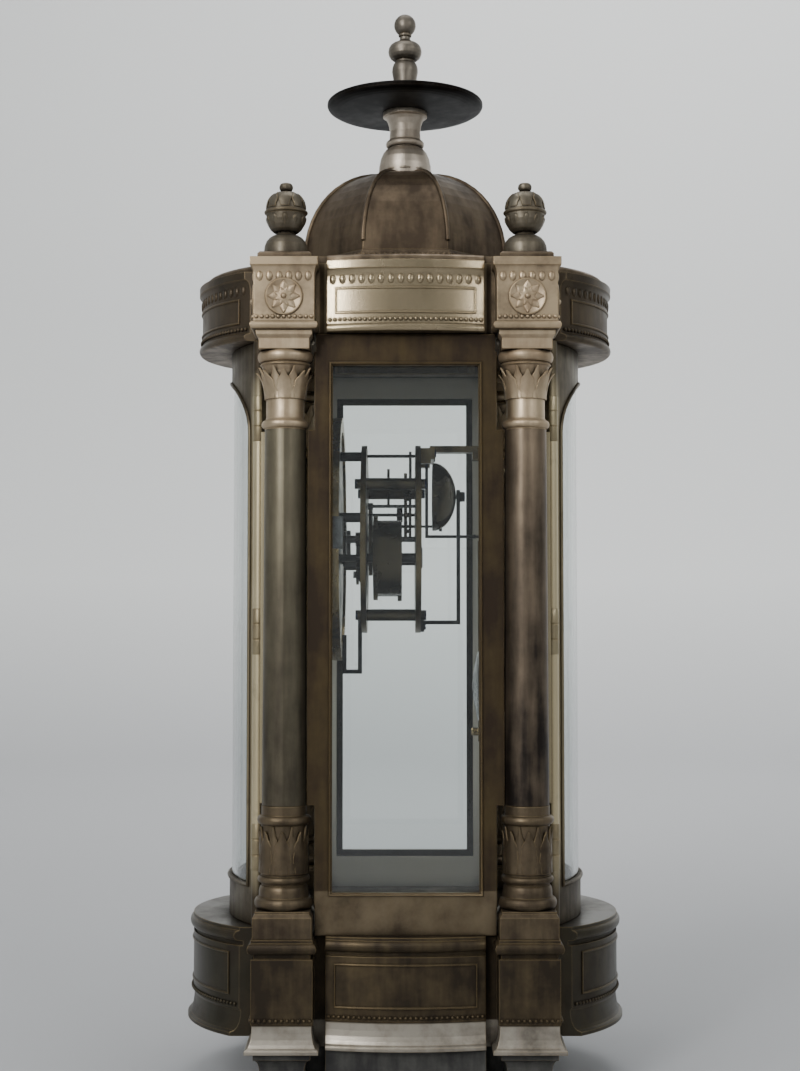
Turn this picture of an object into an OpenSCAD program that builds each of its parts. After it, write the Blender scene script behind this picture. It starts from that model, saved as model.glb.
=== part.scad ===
// Glazed mantel clock with four columns, bowed front and back doors, a low eight-sided dome,
// and a round eight-day striking movement with its pendulum. Front faces -Y, +X is the clock's
// right as its owner faces it, +Z is up, and the floor is at Z = 0.

/* [Case] */
// Distance between column centres, left to right
column_span_x = 136; // [130:1:144]
// Distance between column centres, front to back
column_span_y = 104; // [98:1:112]
// Diameter of a column shaft at its foot
shaft_d = 19; // [17:0.5:20]
// Side of the square corner blocks
block_w = 26; // [25:0.5:27]
// Height of the feet
foot_h = 26; // [22:1:34]
// Height of the plinth
plinth_h = 47; // [42:1:54]
// Clear height between plinth and cornice
case_h = 258; // [250:1:275]
// Height of the cornice
cornice_h = 31; // [28:1:36]
// How far the plinth bow reaches from the centre
plinth_reach = 98; // [94:1:102]
// How far the cornice bow reaches from the centre
cornice_reach = 95.5; // [92:0.5:100]
// Half width of each bow
bow_half = 50; // [48:0.5:51]
// Half width of each flat side panel
panel_half = 34; // [31:0.5:35]
// How far the side panels stand in from the block faces
panel_inset = 5; // [3:0.5:7]

/* [Roof] */
// Distance across the flats of the dome
dome_flats = 92; // [86:1:96]
// Height of the dome above its base moulding
dome_h = 42; // [36:1:48]
// Height of the finial's stem, from the dome to the wide disc
stem_h = 31.5; // [28:0.5:40]
// Diameter of the wide disc on the finial
cap_d = 74; // [60:1:84]
// Height of the corner finials
corner_finial_h = 32; // [28:1:40]

/* [Glazing] */
// How far the door frames reach from the centre
door_reach = 81.5; // [80:0.5:84]
// Thickness of the door frames
door_t = 4; // [3.5:0.5:5]
// Height of the bottom rails
bottom_rail_h = 18; // [14:1:22]
// Height of the top rails
top_rail_h = 14; // [12:1:20]
// Rise of the arched head of each door
door_arch_rise = 26; // [16:2:34]
// Width of the door stiles
door_stile_w = 10; // [9.5:0.5:12]
// Width of the side frames' upright bars
side_stile_w = 10.7; // [9.5:0.1:13]
// Thickness of the glass
glass_t = 2; // [1.5:0.5:2]

/* [Movement] */
// Height of the dial centre above the plinth
dial_rise = 172; // [166:1:180]
// Diameter of the movement plates
plate_d = 88; // [87:0.5:92]
// Thickness of the movement plates
plate_t = 2.5; // [2:0.5:3]
// Distance between the movement plates
plate_gap = 22.5; // [22.5:0.5:25]
// Distance of the front plate's rear face behind the front columns
plate_set = 34.25; // [33:0.25:35]
// Width of the bezel ring
bezel_w = 7; // [6:0.5:8]
// Diameter of the enamel dial
dial_d = 100; // [98:1:102]
// Distance from the suspension to the centre of the bob
pendulum_l = 108; // [100:1:116]
// Diameter of the bob
bob_d = 32; // [28:1:36]

/* [Fits] */
// Gap between pieces that stand side by side
gap = 0.3; // [0.2:0.05:0.4]
// Radial clearance of a turning pivot in its hole
run_fit = 0.05; // [0.02:0.01:0.08]

/* [Hidden] */
$fn = 48;

// Case levels, from the floor up
z_plinth = foot_h;
z_deck = z_plinth + plinth_h;
z_cornice = z_deck + case_h;
z_roof = z_cornice + cornice_h;
column_x = column_span_x / 2;
column_y = column_span_y / 2;
face_x = column_x + block_w / 2;
face_y = column_y + block_w / 2;
side_face = face_x - panel_inset;
side_bulge = 4;
plinth_bow_y = 36;
cornice_bow_y = 35;
wall = 5;
roof_t = 3;
dome_base_h = 10;
dome_neck = 10.5;
dome_top = z_roof + roof_t + dome_base_h + dome_h;
cap_z = dome_top + stem_h;
cap_t = 4;
rod_d = 4;
nut_d = 9;
nut_h = 4;
socket_h = 11;
base_frame_h = 18;
shaft_wall = 2.5;
base_h = 55;
capital_h = 42;
CORNERS = [for (x = [-1, 1], y = [-1, 1]) [x, y]];

// Doors: one bowed leaf, mirrored at the front and turned half round at the back, so both hang
// on the clock's right
door_pin_x = 50.4;
door_pin_y = face_y - 0.6;
door_sag = door_reach - door_pin_y;
door_r = (door_pin_x * door_pin_x + door_sag * door_sag) / (2 * door_sag);
door_bow_y = door_reach - door_r;
bead_d = 6;
pin_d = 2.5;
pin_l = 3;
door_z0 = z_deck + 0.4;
door_z1 = z_cornice - 0.4;
pane_z0 = z_deck + bottom_rail_h;
pane_z1 = z_cornice - top_rail_h;
pane_lap = 2;
catch_in = 6;
door_angle = asin(door_pin_x / door_r);
stile_angle = door_stile_w / door_r * 180 / PI;
catch_angle = door_angle - catch_in / door_r * 180 / PI;
catch_z = (pane_z0 + pane_z1) / 2;

// Side frames stand between the columns
frame_x0 = column_x - 4;
frame_t = 6;
frame_half = column_y - shaft_d / 2 - gap;
side_open_half = frame_half - side_stile_w;

// Movement levels: y runs back from the dial, and arbors are placed by (x, z) from the dial centre
dial_z = z_deck + dial_rise;
plate_y = -column_y + plate_set;
front_plate_y = plate_y - plate_t;
back_y0 = plate_y + plate_gap;
back_y1 = back_y0 + plate_t;
dial_back_y = front_plate_y - 10.25;
dial_plate_t = 1.5;
dial_t = 1.6;
dial_y = dial_back_y - dial_plate_t - dial_t;
bezel_d = dial_d + 2 * bezel_w;
bezel_t = 10;
bezel_y1 = dial_back_y + 1.2;
bezel_y0 = bezel_y1 - bezel_t;
pivot_d = 1.2;
arbor_d = 1.5;
barrel_arbor_d = 4.4;
centre_d = 2.6;
cannon_d = 3.6;
pipe_d = 6.2;
ratchet_r = 6.2;
crutch_l = 38;
play = 0.4;
pivot_front = front_plate_y + play;
pivot_back = back_y1 - play;
inner_front = plate_y + play;
inner_back = back_y0 - play;

// Layers of the trains, from the front plate's inner face backwards
centre_y0 = plate_y + 0.8;
great_y0 = plate_y + 3.2;
drum_y1 = great_y0 + 13;
third_y0 = drum_y1 + 1;
escape_y0 = third_y0 + 2.4;
lock_y0 = great_y0 + 6;
pinion_over = 0.4;

// Trains: tooth counts and modules
GREAT = 72;
CENTRE_PINION = 12;
CENTRE = 84;
THIRD = 84;
LEAVES = 7;
ESCAPE = 38;
m_great = 0.527;
m_centre = 0.40;
m_third = 0.36;
PIN_WHEEL = 72;
LOCK_PINION = 8;
LOCK = 56;
m_pin = 0.34;
m_lock = 0.30;
CANNON = 12;
MINUTE = 36;
MINUTE_PINION = 10;
HOUR = 40;
m_cannon = 0.50;
m_hour = 0.48;

function mesh_r(m, a, b) = m * (a + b) / 2;
function polar(r, a) = [r * cos(a), r * sin(a)];
function angle_of(p) = atan2(p[1], p[0]);

barrel_r = mesh_r(m_great, GREAT, CENTRE_PINION);
GOING = polar(barrel_r, -25.4);
STRIKE = [-GOING[0], GOING[1]];
THIRD_AT = polar(mesh_r(m_centre, CENTRE, LEAVES), 54.8);
third_reach = mesh_r(m_third, THIRD, LEAVES);
ESCAPE_AT = [0, THIRD_AT[1] + sqrt(third_reach * third_reach - THIRD_AT[0] * THIRD_AT[0])];
escape_r = 9;
pallet_half_span = 40.3;
PALLET_AT = ESCAPE_AT + [0, escape_r / cos(pallet_half_span)];
PIN_AT = STRIKE + polar(barrel_r, 85);
LOCK_AT = PIN_AT + polar(mesh_r(m_pin, PIN_WHEEL, LOCK_PINION), 80);
FLY_AT = LOCK_AT + polar(mesh_r(m_lock, LOCK, LEAVES), 160);
MINUTE_AT = [0, -mesh_r(m_cannon, CANNON, MINUTE)];
HAMMER_AT = [-36, 8];
BELL_AT = [7.5, 19.5];
PILLARS = [for (a = [38, 142, 248, 292]) polar(plate_d / 2 - 5.5, a)];
bell_d = 32;
bell_depth = 11;
bell_behind = 16.5;
bell_y = back_y1 + bell_behind;
pendulum_behind = 27.5;
pendulum_y = back_y1 + pendulum_behind;
suspension_z = dial_z + PALLET_AT[1];
bob_z = suspension_z - pendulum_l;
swing = 4;

// Hands stand at eight minutes past ten
minute_angle = 90 - 48;
hour_angle = 90 - 304;

// Quarter curve from a to b in (offset, height), leaving a along the offset when outward is true
function quarter(a, b, outward, n = 5) = [for (i = [1:n]) let (t = 90 * i / n)
    outward ? [a[0] + (b[0] - a[0]) * sin(t), a[1] + (b[1] - a[1]) * (1 - cos(t))]
            : [a[0] + (b[0] - a[0]) * (1 - cos(t)), a[1] + (b[1] - a[1]) * sin(t)]];

// Half-round moulding of height z1 - z0 that stands out by b from the offset d
function half_round(d, z0, z1, b, n = 8) = [for (i = [0:n]) let (t = 180 * i / n)
    [d + b * sin(t), (z0 + z1) / 2 - (z1 - z0) / 2 * cos(t)]];

// Turned piece: a profile of (radius, height) closed on its axis
module turn(profile) {
    last = len(profile) - 1;
    rotate_extrude() polygon(concat([[0, profile[0][1]]], profile, [[0, profile[last][1]]]));
}

// Square moulded block: the same profile on four sides, mitred at the corners
module moulded_square(half, profile) {
    right = [for (p = profile) [half + p[0], p[1]]];
    left = [for (i = [len(profile) - 1:-1:0]) [-half - profile[i][0], profile[i][1]]];
    intersection() {
        rotate([90, 0, 0]) linear_extrude(3 * half, center = true) polygon(concat(right, left));
        rotate([90, 0, 90]) linear_extrude(3 * half, center = true) polygon(concat(right, left));
    }
}

// Part of a turned ring that makes a bow of the given radius about (0, bow_y), kept to x within half
module bow(bow_y, r, half, profile) {
    z0 = profile[0][1];
    z1 = profile[len(profile) - 1][1];
    intersection() {
        translate([0, bow_y, 0]) rotate_extrude($fn = 96)
            polygon(concat([[0, z0]], [for (p = profile) [r + p[0], p[1]]], [[0, z1]]));
        translate([-half, 0, z0 - 1]) cube([2 * half, bow_y + 2 * r, z1 - z0 + 2]);
    }
}

module both_ways() {
    children();
    rotate(180) children();
}

module at_corners(z = 0) {
    for (c = CORNERS) translate([c[0] * column_x, c[1] * column_y, z]) children();
}

// A storey of the case: corner blocks, bows front and back, and shallow side panels round a core
module storey(reach, bow_y, profile) {
    z0 = profile[0][1];
    z1 = profile[len(profile) - 1][1];
    side_r = (panel_half * panel_half + side_bulge * side_bulge) / (2 * side_bulge);
    at_corners() moulded_square(block_w / 2, profile);
    both_ways() bow(bow_y, reach - bow_y, bow_half, profile);
    both_ways() rotate(-90) bow(side_face - side_r, side_r, panel_half, profile);
    translate([-column_x, -column_y - 8, z0]) cube([2 * column_x, 2 * column_y + 16, z1 - z0]);
}

module rod_holes(z0, z1, d = rod_d + 2 * gap) {
    at_corners(z0) cylinder(h = z1 - z0, d = d);
}

// Case
module feet() {
    half = block_w / 2 - 1;
    profile = concat([[0, 0], [0, 5]], quarter([0, 5], [-2.5, 8], true), [[-2.5, foot_h - 8]],
        quarter([-2.5, foot_h - 8], [0, foot_h - 3], false), [[0, foot_h]]);
    color("#3a3930") difference() {
        at_corners() moulded_square(half, profile);
        rod_holes(-1, foot_h + 1);
        rod_holes(-1, socket_h, nut_d + 4);
    }
}

module base_frame() {
    z0 = foot_h - base_frame_h;
    h = base_frame_h;
    top_t = 3;
    arms = [[bow_half, face_y - 3], [side_face - 3, panel_half]];
    color("#33332c") difference() {
        for (a = arms) translate([-a[0], -a[1], z0]) cube([2 * a[0], 2 * a[1], h]);
        for (a = arms) translate([-a[0] + wall, -a[1] + wall, z0 - 1])
            cube([2 * (a[0] - wall), 2 * (a[1] - wall), h - top_t + 1]);
    }
}

module plinth() {
    z0 = z_plinth;
    z1 = z_deck;
    profile = concat([[2.5, z0], [2.5, z0 + 1.5], [2, z0 + 2]], quarter([2, z0 + 2], [-0.5, z0 + 11], true),
        [[0, z0 + 12], [0, z1 - 8], [-1, z1 - 8], [-1, z1 - 6]],
        half_round(0, z1 - 6, z1 - 1.5, 1.5), [[0, z1 - 1.5], [0, z1]]);
    color("#4a3f33") difference() {
        storey(plinth_reach, plinth_bow_y, profile);
        for (half = [[bow_half - wall, face_y - 2], [side_face - wall, panel_half - wall]])
            translate([-half[0], -half[1], z0 - 1]) cube([2 * half[0], 2 * half[1], z1 - z0 - wall + 1]);
        rod_holes(z0 - 1, z1 + 1);
        door_pin_holes(z1 - pin_l - 0.5, z1 + 1);
    }
}

module door_pin_holes(z0, z1) {
    for (y = [-door_pin_y, door_pin_y]) translate([door_pin_x, y, z0])
        cylinder(h = z1 - z0, d = pin_d + 2 * run_fit);
}

module column_bases() {
    r = shaft_d / 2;
    z0 = z_deck;
    block = [[-0.5, z0], [-0.5, z0 + 9], [-1.5, z0 + 10.5], [-1.5, z0 + 11.5]];
    z1 = z0 + 11.5;
    profile = concat(half_round(r + 1.2, z1, z1 + 5, 1.9), quarter([r + 1.2, z1 + 6], [r, z1 + 10], false),
        half_round(r + 0.4, z1 + 11, z1 + 14, 1.3), [[r + 0.4, z1 + 15], [r + 0.2, z0 + base_h - 9]],
        half_round(r + 0.2, z0 + base_h - 8, z0 + base_h - 4, 1.8), [[r + 0.2, z0 + base_h]]);
    color("#6a5f4f") difference() {
        at_corners() {
            moulded_square(block_w / 2, block);
            turn(concat([[r + 1.2, z1 - 0.5]], profile));
        }
        rod_holes(z0 - 1, z0 + base_h + 1);
    }
}

module column(x, y) {
    z0 = z_deck + base_h;
    z1 = z_cornice - capital_h;
    r = shaft_d / 2;
    color("#7a7058") translate([x * column_x, y * column_y, z0]) difference() {
        cylinder(h = z1 - z0, r1 = r, r2 = r - 0.6);
        translate([0, 0, -1]) cylinder(h = z1 - z0 + 2, r = r - shaft_wall);
    }
}

module column_front_left() { column(-1, -1); }
module column_front_right() { column(1, -1); }
module column_rear_left() { column(-1, 1); }
module column_rear_right() { column(1, 1); }

module capitals() {
    r = shaft_d / 2 - 0.6;
    z1 = z_cornice;
    z0 = z1 - capital_h;
    profile = concat([[r, z0]], half_round(r, z0 + 0.5, z0 + 4, 1.4), [[r - 0.6, z0 + 5], [r - 0.6, z0 + 13]],
        quarter([r - 0.6, z0 + 13], [r + 2.2, z1 - 14], false), half_round(r + 1.4, z1 - 13, z1 - 8, 1.8));
    color("#9a8f80") difference() {
        at_corners() {
            turn(profile);
            moulded_square(block_w / 2, [[-2.2, z1 - 8], [-2.2, z1 - 3.5], [-1, z1 - 2], [-1, z1]]);
        }
        rod_holes(z0 - 1, z1 + 1);
    }
}

module cornice() {
    z0 = z_cornice;
    z1 = z_roof;
    profile = concat([[0, z0]], half_round(0, z0, z0 + 3.5, 1.5), [[0, z1 - 8]],
        quarter([0, z1 - 8], [1.5, z1 - 3.5], false), [[1.5, z1]]);
    color("#8a7c62") difference() {
        storey(cornice_reach, cornice_bow_y, profile);
        translate([-column_x + block_w / 2 + 1, -column_y + block_w / 2 + 2, z0 - 1])
            cube([2 * column_x - block_w - 2, 2 * column_y - block_w - 4, z1 - z0 + 2]);
        translate([0, 0, z0 + wall]) both_ways() bow(cornice_bow_y, cornice_reach - cornice_bow_y - wall,
            bow_half - wall, [[0, 0], [0, z1 - z0]]);
        rod_holes(z0 - 1, z1 + 1);
        door_pin_holes(z0 - 1, z0 + pin_l + 0.5);
    }
}

// Eight-petalled flower on each outer face of the cornice blocks
module rosette() {
    linear_extrude(1) circle(d = 16);
    translate([0, 0, 1]) linear_extrude(0.8) {
        for (a = [0:45:315]) rotate(a) intersection() {
            translate([4.2, 2.2]) circle(r = 4);
            translate([4.2, -2.2]) circle(r = 4);
        }
    }
    translate([0, 0, 1]) cylinder(h = 1.6, d1 = 3.6, d2 = 2.6);
}

module rosettes() {
    z = (z_cornice + z_roof) / 2 - 1.5;
    color("#a09070") for (c = CORNERS) {
        translate([c[0] * face_x, c[1] * column_y, z]) rotate([0, c[0] * 90, 0]) rosette();
        translate([c[0] * column_x, c[1] * face_y, z]) rotate([-c[1] * 90, 0, 0]) rosette();
    }
}

module roof_plate() {
    z0 = z_roof;
    z1 = z_roof + roof_t;
    color("#6b5a48") difference() {
        storey(cornice_reach, cornice_bow_y, [[-1.5, z0], [-1.5, z1 - 1], [-2.5, z1]]);
        rod_holes(z0 - 1, z1 + 1);
        translate([0, 0, z0 - 1]) cylinder(h = roof_t + 2, d = rod_d + 2 * gap);
    }
}

// Solid with eight equal sides: one upright profile, mirrored, cut with itself at every 45 degrees
module eight_sided(profile) {
    n = len(profile) - 1;
    outline = concat(profile, [for (i = [n:-1:0]) [-profile[i][0], profile[i][1]]]);
    intersection_for (a = [0:45:135]) rotate([90, 0, a])
        linear_extrude(4 * profile[0][0], center = true) polygon(outline);
}

module dome() {
    half = dome_flats / 2;
    z0 = z_roof + roof_t;
    z1 = z0 + dome_base_h;
    mould = concat([[half + 2, z0], [half + 2, z0 + 4]],
        quarter([half + 2, z0 + 4], [half, z1 - 2], false), [[half, z1]]);
    color("#5d4f3e") difference() {
        eight_sided(concat(mould, quarter([half, z1], [dome_neck, dome_top], false, 12)));
        eight_sided(concat([[half - 3, z0 - 1]],
            quarter([half - 3, z1], [dome_neck + 3, dome_top - 4], false, 6)));
        translate([0, 0, z0]) cylinder(h = dome_h + 20, d = rod_d + 2 * gap);
    }
}

module finial_stem() {
    z0 = dome_top;
    foot_r = dome_neck + 2;
    profile = concat([[foot_r, z0], [foot_r, z0 + 2]], quarter([foot_r, z0 + 2], [7.5, z0 + 14], false),
        half_round(7.5, z0 + 14.5, z0 + 18, 1.6),
        quarter([7, z0 + 19], [10.5, cap_z - 2], false), [[10.5, cap_z]]);
    color("#7c7368") difference() {
        union() {
            turn(profile);
            translate([0, 0, z_roof - 3]) cylinder(h = z0 - z_roof + 3.5, d = rod_d);
            translate([0, 0, z_roof - 5]) cylinder(h = nut_h, d = nut_d, $fn = 6);
        }
        translate([0, 0, cap_z - 8]) cylinder(h = 9, d = rod_d + 2 * run_fit);
    }
}

module smoke_cap() {
    r = cap_d / 2;
    profile = concat([[11, cap_z], [r - 8, cap_z + 0.5]], quarter([r - 8, cap_z + 0.5], [r, cap_z + 3], true),
        half_round(r - 0.6, cap_z + 3, cap_z + 4.6, 0.6, 6), [[r - 8, cap_z + 3.2], [9, cap_z + cap_t]]);
    color("#241c16") difference() {
        turn(profile);
        translate([0, 0, cap_z - 1]) cylinder(h = 7, d = rod_d + 2 * gap);
    }
}

module finial_spindle() {
    z0 = cap_z + cap_t;
    ball_d = 10.4;
    profile = concat([[8.5, z0], [8.5, z0 + 1.5]], quarter([8.5, z0 + 1.5], [4.6, z0 + 7], false),
        [[6.2, z0 + 16]], quarter([6.2, z0 + 16], [4.4, z0 + 20.5], false),
        half_round(4.4, z0 + 21.5, z0 + 30, 3.6),
        [[2.6, z0 + 31.5]], half_round(2.4, z0 + 33, z0 + 34.5, 0.8, 4));
    color("#807870") {
        turn(profile);
        translate([0, 0, z0 + 38.6]) sphere(d = ball_d);
        translate([0, 0, cap_z - 7]) cylinder(h = 12, d = rod_d);
    }
}

// Small covered urns
module corner_finials() {
    z0 = z_roof + roof_t;
    z1 = z0 + corner_finial_h;
    lip = z0 + corner_finial_h * 0.62;
    profile = concat([[9.5, z0], [9.5, z0 + 2.5]], quarter([9.5, z0 + 2.5], [4, z0 + 9], false),
        [[4, z0 + 10]], quarter([4, z0 + 10], [8.6, lip - 2], true), half_round(8.6, lip - 1.6, lip, 0.9, 6),
        quarter([8.4, lip + 0.5], [2.6, z1 - 4], false, 7), half_round(1.6, z1 - 3.6, z1, 1.4), [[0.6, z1]]);
    color("#6b675e") difference() {
        at_corners() turn(profile);
        rod_holes(z0 - 1, z0 + 8, rod_d + 2 * run_fit);
    }
}

module tie_rods() {
    color("#8d8a80") at_corners(4) cylinder(h = z_roof + roof_t + 7 - 4, d = rod_d);
}

module tie_nuts() {
    color("#8d8a80") difference() {
        at_corners(socket_h - nut_h) cylinder(h = nut_h, d = nut_d, $fn = 6);
        rod_holes(0, 20, rod_d + 2 * run_fit);
    }
}

// Space that the columns, with their bases and capitals, take from the frames beside them
module column_space() {
    r = shaft_d / 2 + gap;
    half = block_w / 2 + gap;
    at_corners(z_deck - 1) {
        cylinder(h = case_h + 2, r = r);
        cylinder(h = base_h + 1, r = r + 3.4);
        translate([-half, -half, 0]) cube([2 * half, 2 * half, 13.5]);
        translate([0, 0, case_h - capital_h + 1]) cylinder(h = capital_h + 1, r = r + 3);
        translate([-half, -half, case_h - 7]) cube([2 * half, 2 * half, 9]);
    }
}

module side_frame() {
    h = case_h - 0.4;
    color("#6f6652") difference() {
        translate([frame_x0, -frame_half, z_deck]) cube([frame_t, 2 * frame_half, h]);
        translate([frame_x0 - 1, -side_open_half, pane_z0])
            cube([frame_t + 2, 2 * side_open_half, pane_z1 - pane_z0]);
        translate([frame_x0 - 1, -side_open_half - 3, pane_z0 - 3])
            cube([frame_t - 1, 2 * side_open_half + 6, pane_z1 - pane_z0 + 6]);
        column_space();
    }
}

module side_frame_left() { mirror([1, 0, 0]) side_frame(); }
module side_frame_right() { side_frame(); }

module side_glass() {
    lap = 3 - gap;
    x = frame_x0 + frame_t - 2 - glass_t;
    color("#c9dcdc", 0.35) translate([x, -side_open_half - lap, pane_z0 - lap])
        cube([glass_t, 2 * (side_open_half + lap), pane_z1 - pane_z0 + 2 * lap]);
}

module side_glass_left() { mirror([1, 0, 0]) side_glass(); }
module side_glass_right() { side_glass(); }

// Upright strips that close the space between each door and its columns
module door_jambs() {
    x0 = door_pin_x + bead_d / 2 + 0.4;
    color("#5f5744") difference() {
        for (c = CORNERS) translate([c[0] * (x0 + 4), c[1] * (column_y + 7.5), z_deck + case_h / 2 - 0.2])
            cube([8, 7, case_h - 0.4], center = true);
        column_space();
    }
}

// Doors
module arc_sector(r0, r1, a0, a1, h) {
    far = 2 * r1;
    linear_extrude(h) intersection() {
        difference() {
            circle(r = r1, $fn = 160);
            circle(r = r0, $fn = 160);
        }
        polygon([[0, 0], polar(far, a0), polar(far, (a0 + a1) / 2), polar(far, a1)]);
    }
}

// Bowed slab with an arched head, larger than the door's opening by lap on every side
module arched_slab(r0, r1, lap) {
    a = door_angle - stile_angle + lap / door_r * 180 / PI;
    half = door_r * sin(a);
    spring = pane_z1 + lap - door_arch_rise;
    intersection() {
        translate([0, 0, pane_z0 - lap])
            arc_sector(r0, r1, -90 - a, -90 + a, pane_z1 - pane_z0 + 2 * lap);
        rotate([90, 0, 0]) linear_extrude(2 * door_r)
            polygon(concat([[-half, pane_z0 - lap], [half, pane_z0 - lap]],
                [for (i = [0:16]) let (t = i * 180 / 16) [half * cos(t), spring + door_arch_rise * sin(t)]]));
    }
}

module door_leaf() {
    a = door_angle;
    h = door_z1 - door_z0;
    translate([0, -door_bow_y, 0]) difference() {
        translate([0, 0, door_z0]) arc_sector(door_r - door_t, door_r, -90 - a, -90 + a, h);
        arched_slab(door_r - door_t - 1, door_r + 1, 0);
        pane_pocket(0);
    }
    for (s = [-1, 1]) translate([s * door_pin_x, -door_pin_y, door_z0]) cylinder(h = h, d = bead_d);
    translate([-door_pin_x, -door_pin_y, door_z0 - pin_l]) cylinder(h = h + 2 * pin_l, d = pin_d);
}

// Groove for the bowed pane, or the pane itself when it is shrunk by a clearance
module pane_pocket(shrink) {
    mid = door_r - door_t / 2;
    t = glass_t / 2 + 0.1 - shrink / 3;
    arched_slab(mid - t, mid + t, pane_lap - shrink);
}

// Turn catch: knob outside, shank through the stile and tongue inside, drawn along +Z
module catch_shape(hole) {
    reach = door_t + 1;
    if (hole) {
        translate([0, 0, -door_t - 6]) cylinder(h = door_t + 20, d = 3 + 2 * run_fit);
    } else {
        translate([0, 0, -reach - 0.2]) cylinder(h = reach + 1.2, d = 3);
        translate([0, 0, 0.3])
            turn(concat([[2.7, 0], [2.7, 1]], quarter([2.7, 1], [1.6, 3], false), half_round(1.6, 4, 9, 2)));
        translate([-2.2, -2.2, -reach - 1.4]) cube([4.4, 11, 1.2]);
    }
}

module at_catch() {
    translate([0, -door_bow_y, catch_z]) rotate(catch_angle)
        translate([0, -door_r, 0]) rotate([90, 0, 0]) children();
}

module door_frame() {
    color("#57503f") difference() {
        door_leaf();
        at_catch() catch_shape(true);
    }
}

module pane() {
    color("#c9dcdc", 0.35) translate([0, -door_bow_y, 0]) pane_pocket(gap);
}

module door_catch() {
    color("#b09a66") at_catch() catch_shape(false);
}

module front_door_frame() { mirror([1, 0, 0]) door_frame(); }
module front_glass() { mirror([1, 0, 0]) pane(); }
module front_catch() { mirror([1, 0, 0]) door_catch(); }
module rear_door_frame() { rotate(180) door_frame(); }
module rear_glass() { rotate(180) pane(); }
module rear_catch() { rotate(180) door_catch(); }

// Movement: places a shape drawn as seen from the front on an arbor, from y0 back to y1
module on_arbor(p, y0, y1) {
    translate([p[0], y1, dial_z + p[1]]) rotate([90, 0, 0]) linear_extrude(y1 - y0) children();
}

module rod_on(p, y0, y1, d) {
    translate([p[0], y1, dial_z + p[1]]) rotate([90, 0, 0]) cylinder(h = y1 - y0, d = d);
}

// Half a tooth and half a pinion leaf, which is slimmer: share of the pitch, modules from the pitch line
TOOTH = [[0.29, -1.1], [0.2, 0], [0.08, 0.8]];
LEAF = [[0.2, -1.35], [0.15, 0], [0.06, 0.6]];

// Outline of a wheel or pinion, with one tooth centred at the angle phase
function toothed(n, m, phase, flank) = [for (i = [0:n - 1]) let (a = phase + 360 * i / n)
    each concat([for (p = flank) polar(m * (n / 2 + p[1]), a - p[0] * 360 / n)],
        [for (j = [len(flank) - 1:-1:0]) polar(m * (n / 2 + flank[j][1]), a + flank[j][0] * 360 / n)])];

// Windows between the arms of a crossed-out wheel
module crossings(r_rim, r_hub, arms, arm_w) {
    difference() {
        circle(r = r_rim);
        circle(r = r_hub);
        for (i = [0:arms - 1]) rotate(360 * i / arms) translate([0, -arm_w / 2]) square([r_rim + 1, arm_w]);
    }
}

module wheel_2d(teeth, m, phase, arms = 4) {
    r = m * teeth / 2;
    difference() {
        polygon(toothed(teeth, m, phase, TOOTH));
        crossings(r - 1.1 * m - 1.4, 3, arms, 1.8);
    }
}

module pinion_on(p, teeth, m, phase, y0, y1) {
    on_arbor(p, y0, y1) polygon(toothed(teeth, m, phase, LEAF));
}

// Phase of a pinion that meshes with a wheel tooth pointing at it along the angle a
function meshed(a, leaves) = a + 180 + 180 / leaves;

module arbor(p, back = pivot_back) {
    rod_on(p, pivot_front, back, pivot_d);
    rod_on(p, inner_front, inner_back, arbor_d);
}

ARBORS = [THIRD_AT, ESCAPE_AT, PIN_AT, LOCK_AT, FLY_AT, PALLET_AT, HAMMER_AT];
module plate_holes(y0, y1) {
    for (p = ARBORS) rod_on(p, y0 - 1, y1 + 1, pivot_d + 2 * run_fit);
    for (p = [GOING, STRIKE]) rod_on(p, y0 - 1, y1 + 1, barrel_arbor_d + 2 * run_fit);
    rod_on([0, 0], y0 - 1, y1 + 1, centre_d + 2 * run_fit);
    for (p = PILLARS) rod_on(p, y0 - 1, y1 + 1, 2.4);
}

module front_plate() {
    color("#b59a5a") difference() {
        rod_on([0, 0], front_plate_y, plate_y, plate_d);
        plate_holes(front_plate_y, plate_y);
    }
}

module back_plate() {
    color("#a88f52") difference() {
        rod_on([0, 0], back_y0, back_y1, plate_d);
        plate_holes(back_y0, back_y1);
    }
}

// Four turned pillars with screws through both plates
module plate_pillars() {
    color("#a08a52") for (p = PILLARS) {
        rod_on(p, plate_y, back_y0, 5.4);
        rod_on(p, front_plate_y - 0.2, back_y1 + 0.2, 2.2);
        rod_on(p, front_plate_y - 1.8, front_plate_y, 4.6);
        rod_on(p, back_y1, back_y1 + 1.6, 4.6);
    }
}

module barrel(p, wheel_y0, drum_y0, drum_y1, phase) {
    r_drum = GREAT * m_great / 2 - 1.8;
    difference() {
        union() {
            on_arbor(p, wheel_y0, wheel_y0 + 2) polygon(toothed(GREAT, m_great, phase, TOOTH));
            rod_on(p, drum_y0, drum_y1, 2 * r_drum);
        }
        rod_on(p, drum_y0 - 3, drum_y1 + 3, barrel_arbor_d + 2 * run_fit);
        rod_on(p, drum_y0 + 2.2, drum_y1 - 1.2, 2 * r_drum - 2.4);
    }
}

module going_barrel() {
    color("#b89b58") barrel(GOING, great_y0, great_y0, drum_y1, angle_of(-GOING));
}

module strike_barrel() {
    color("#b89b58") barrel(STRIKE, drum_y1 - 2, great_y0, drum_y1, angle_of(PIN_AT - STRIKE));
}

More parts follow.
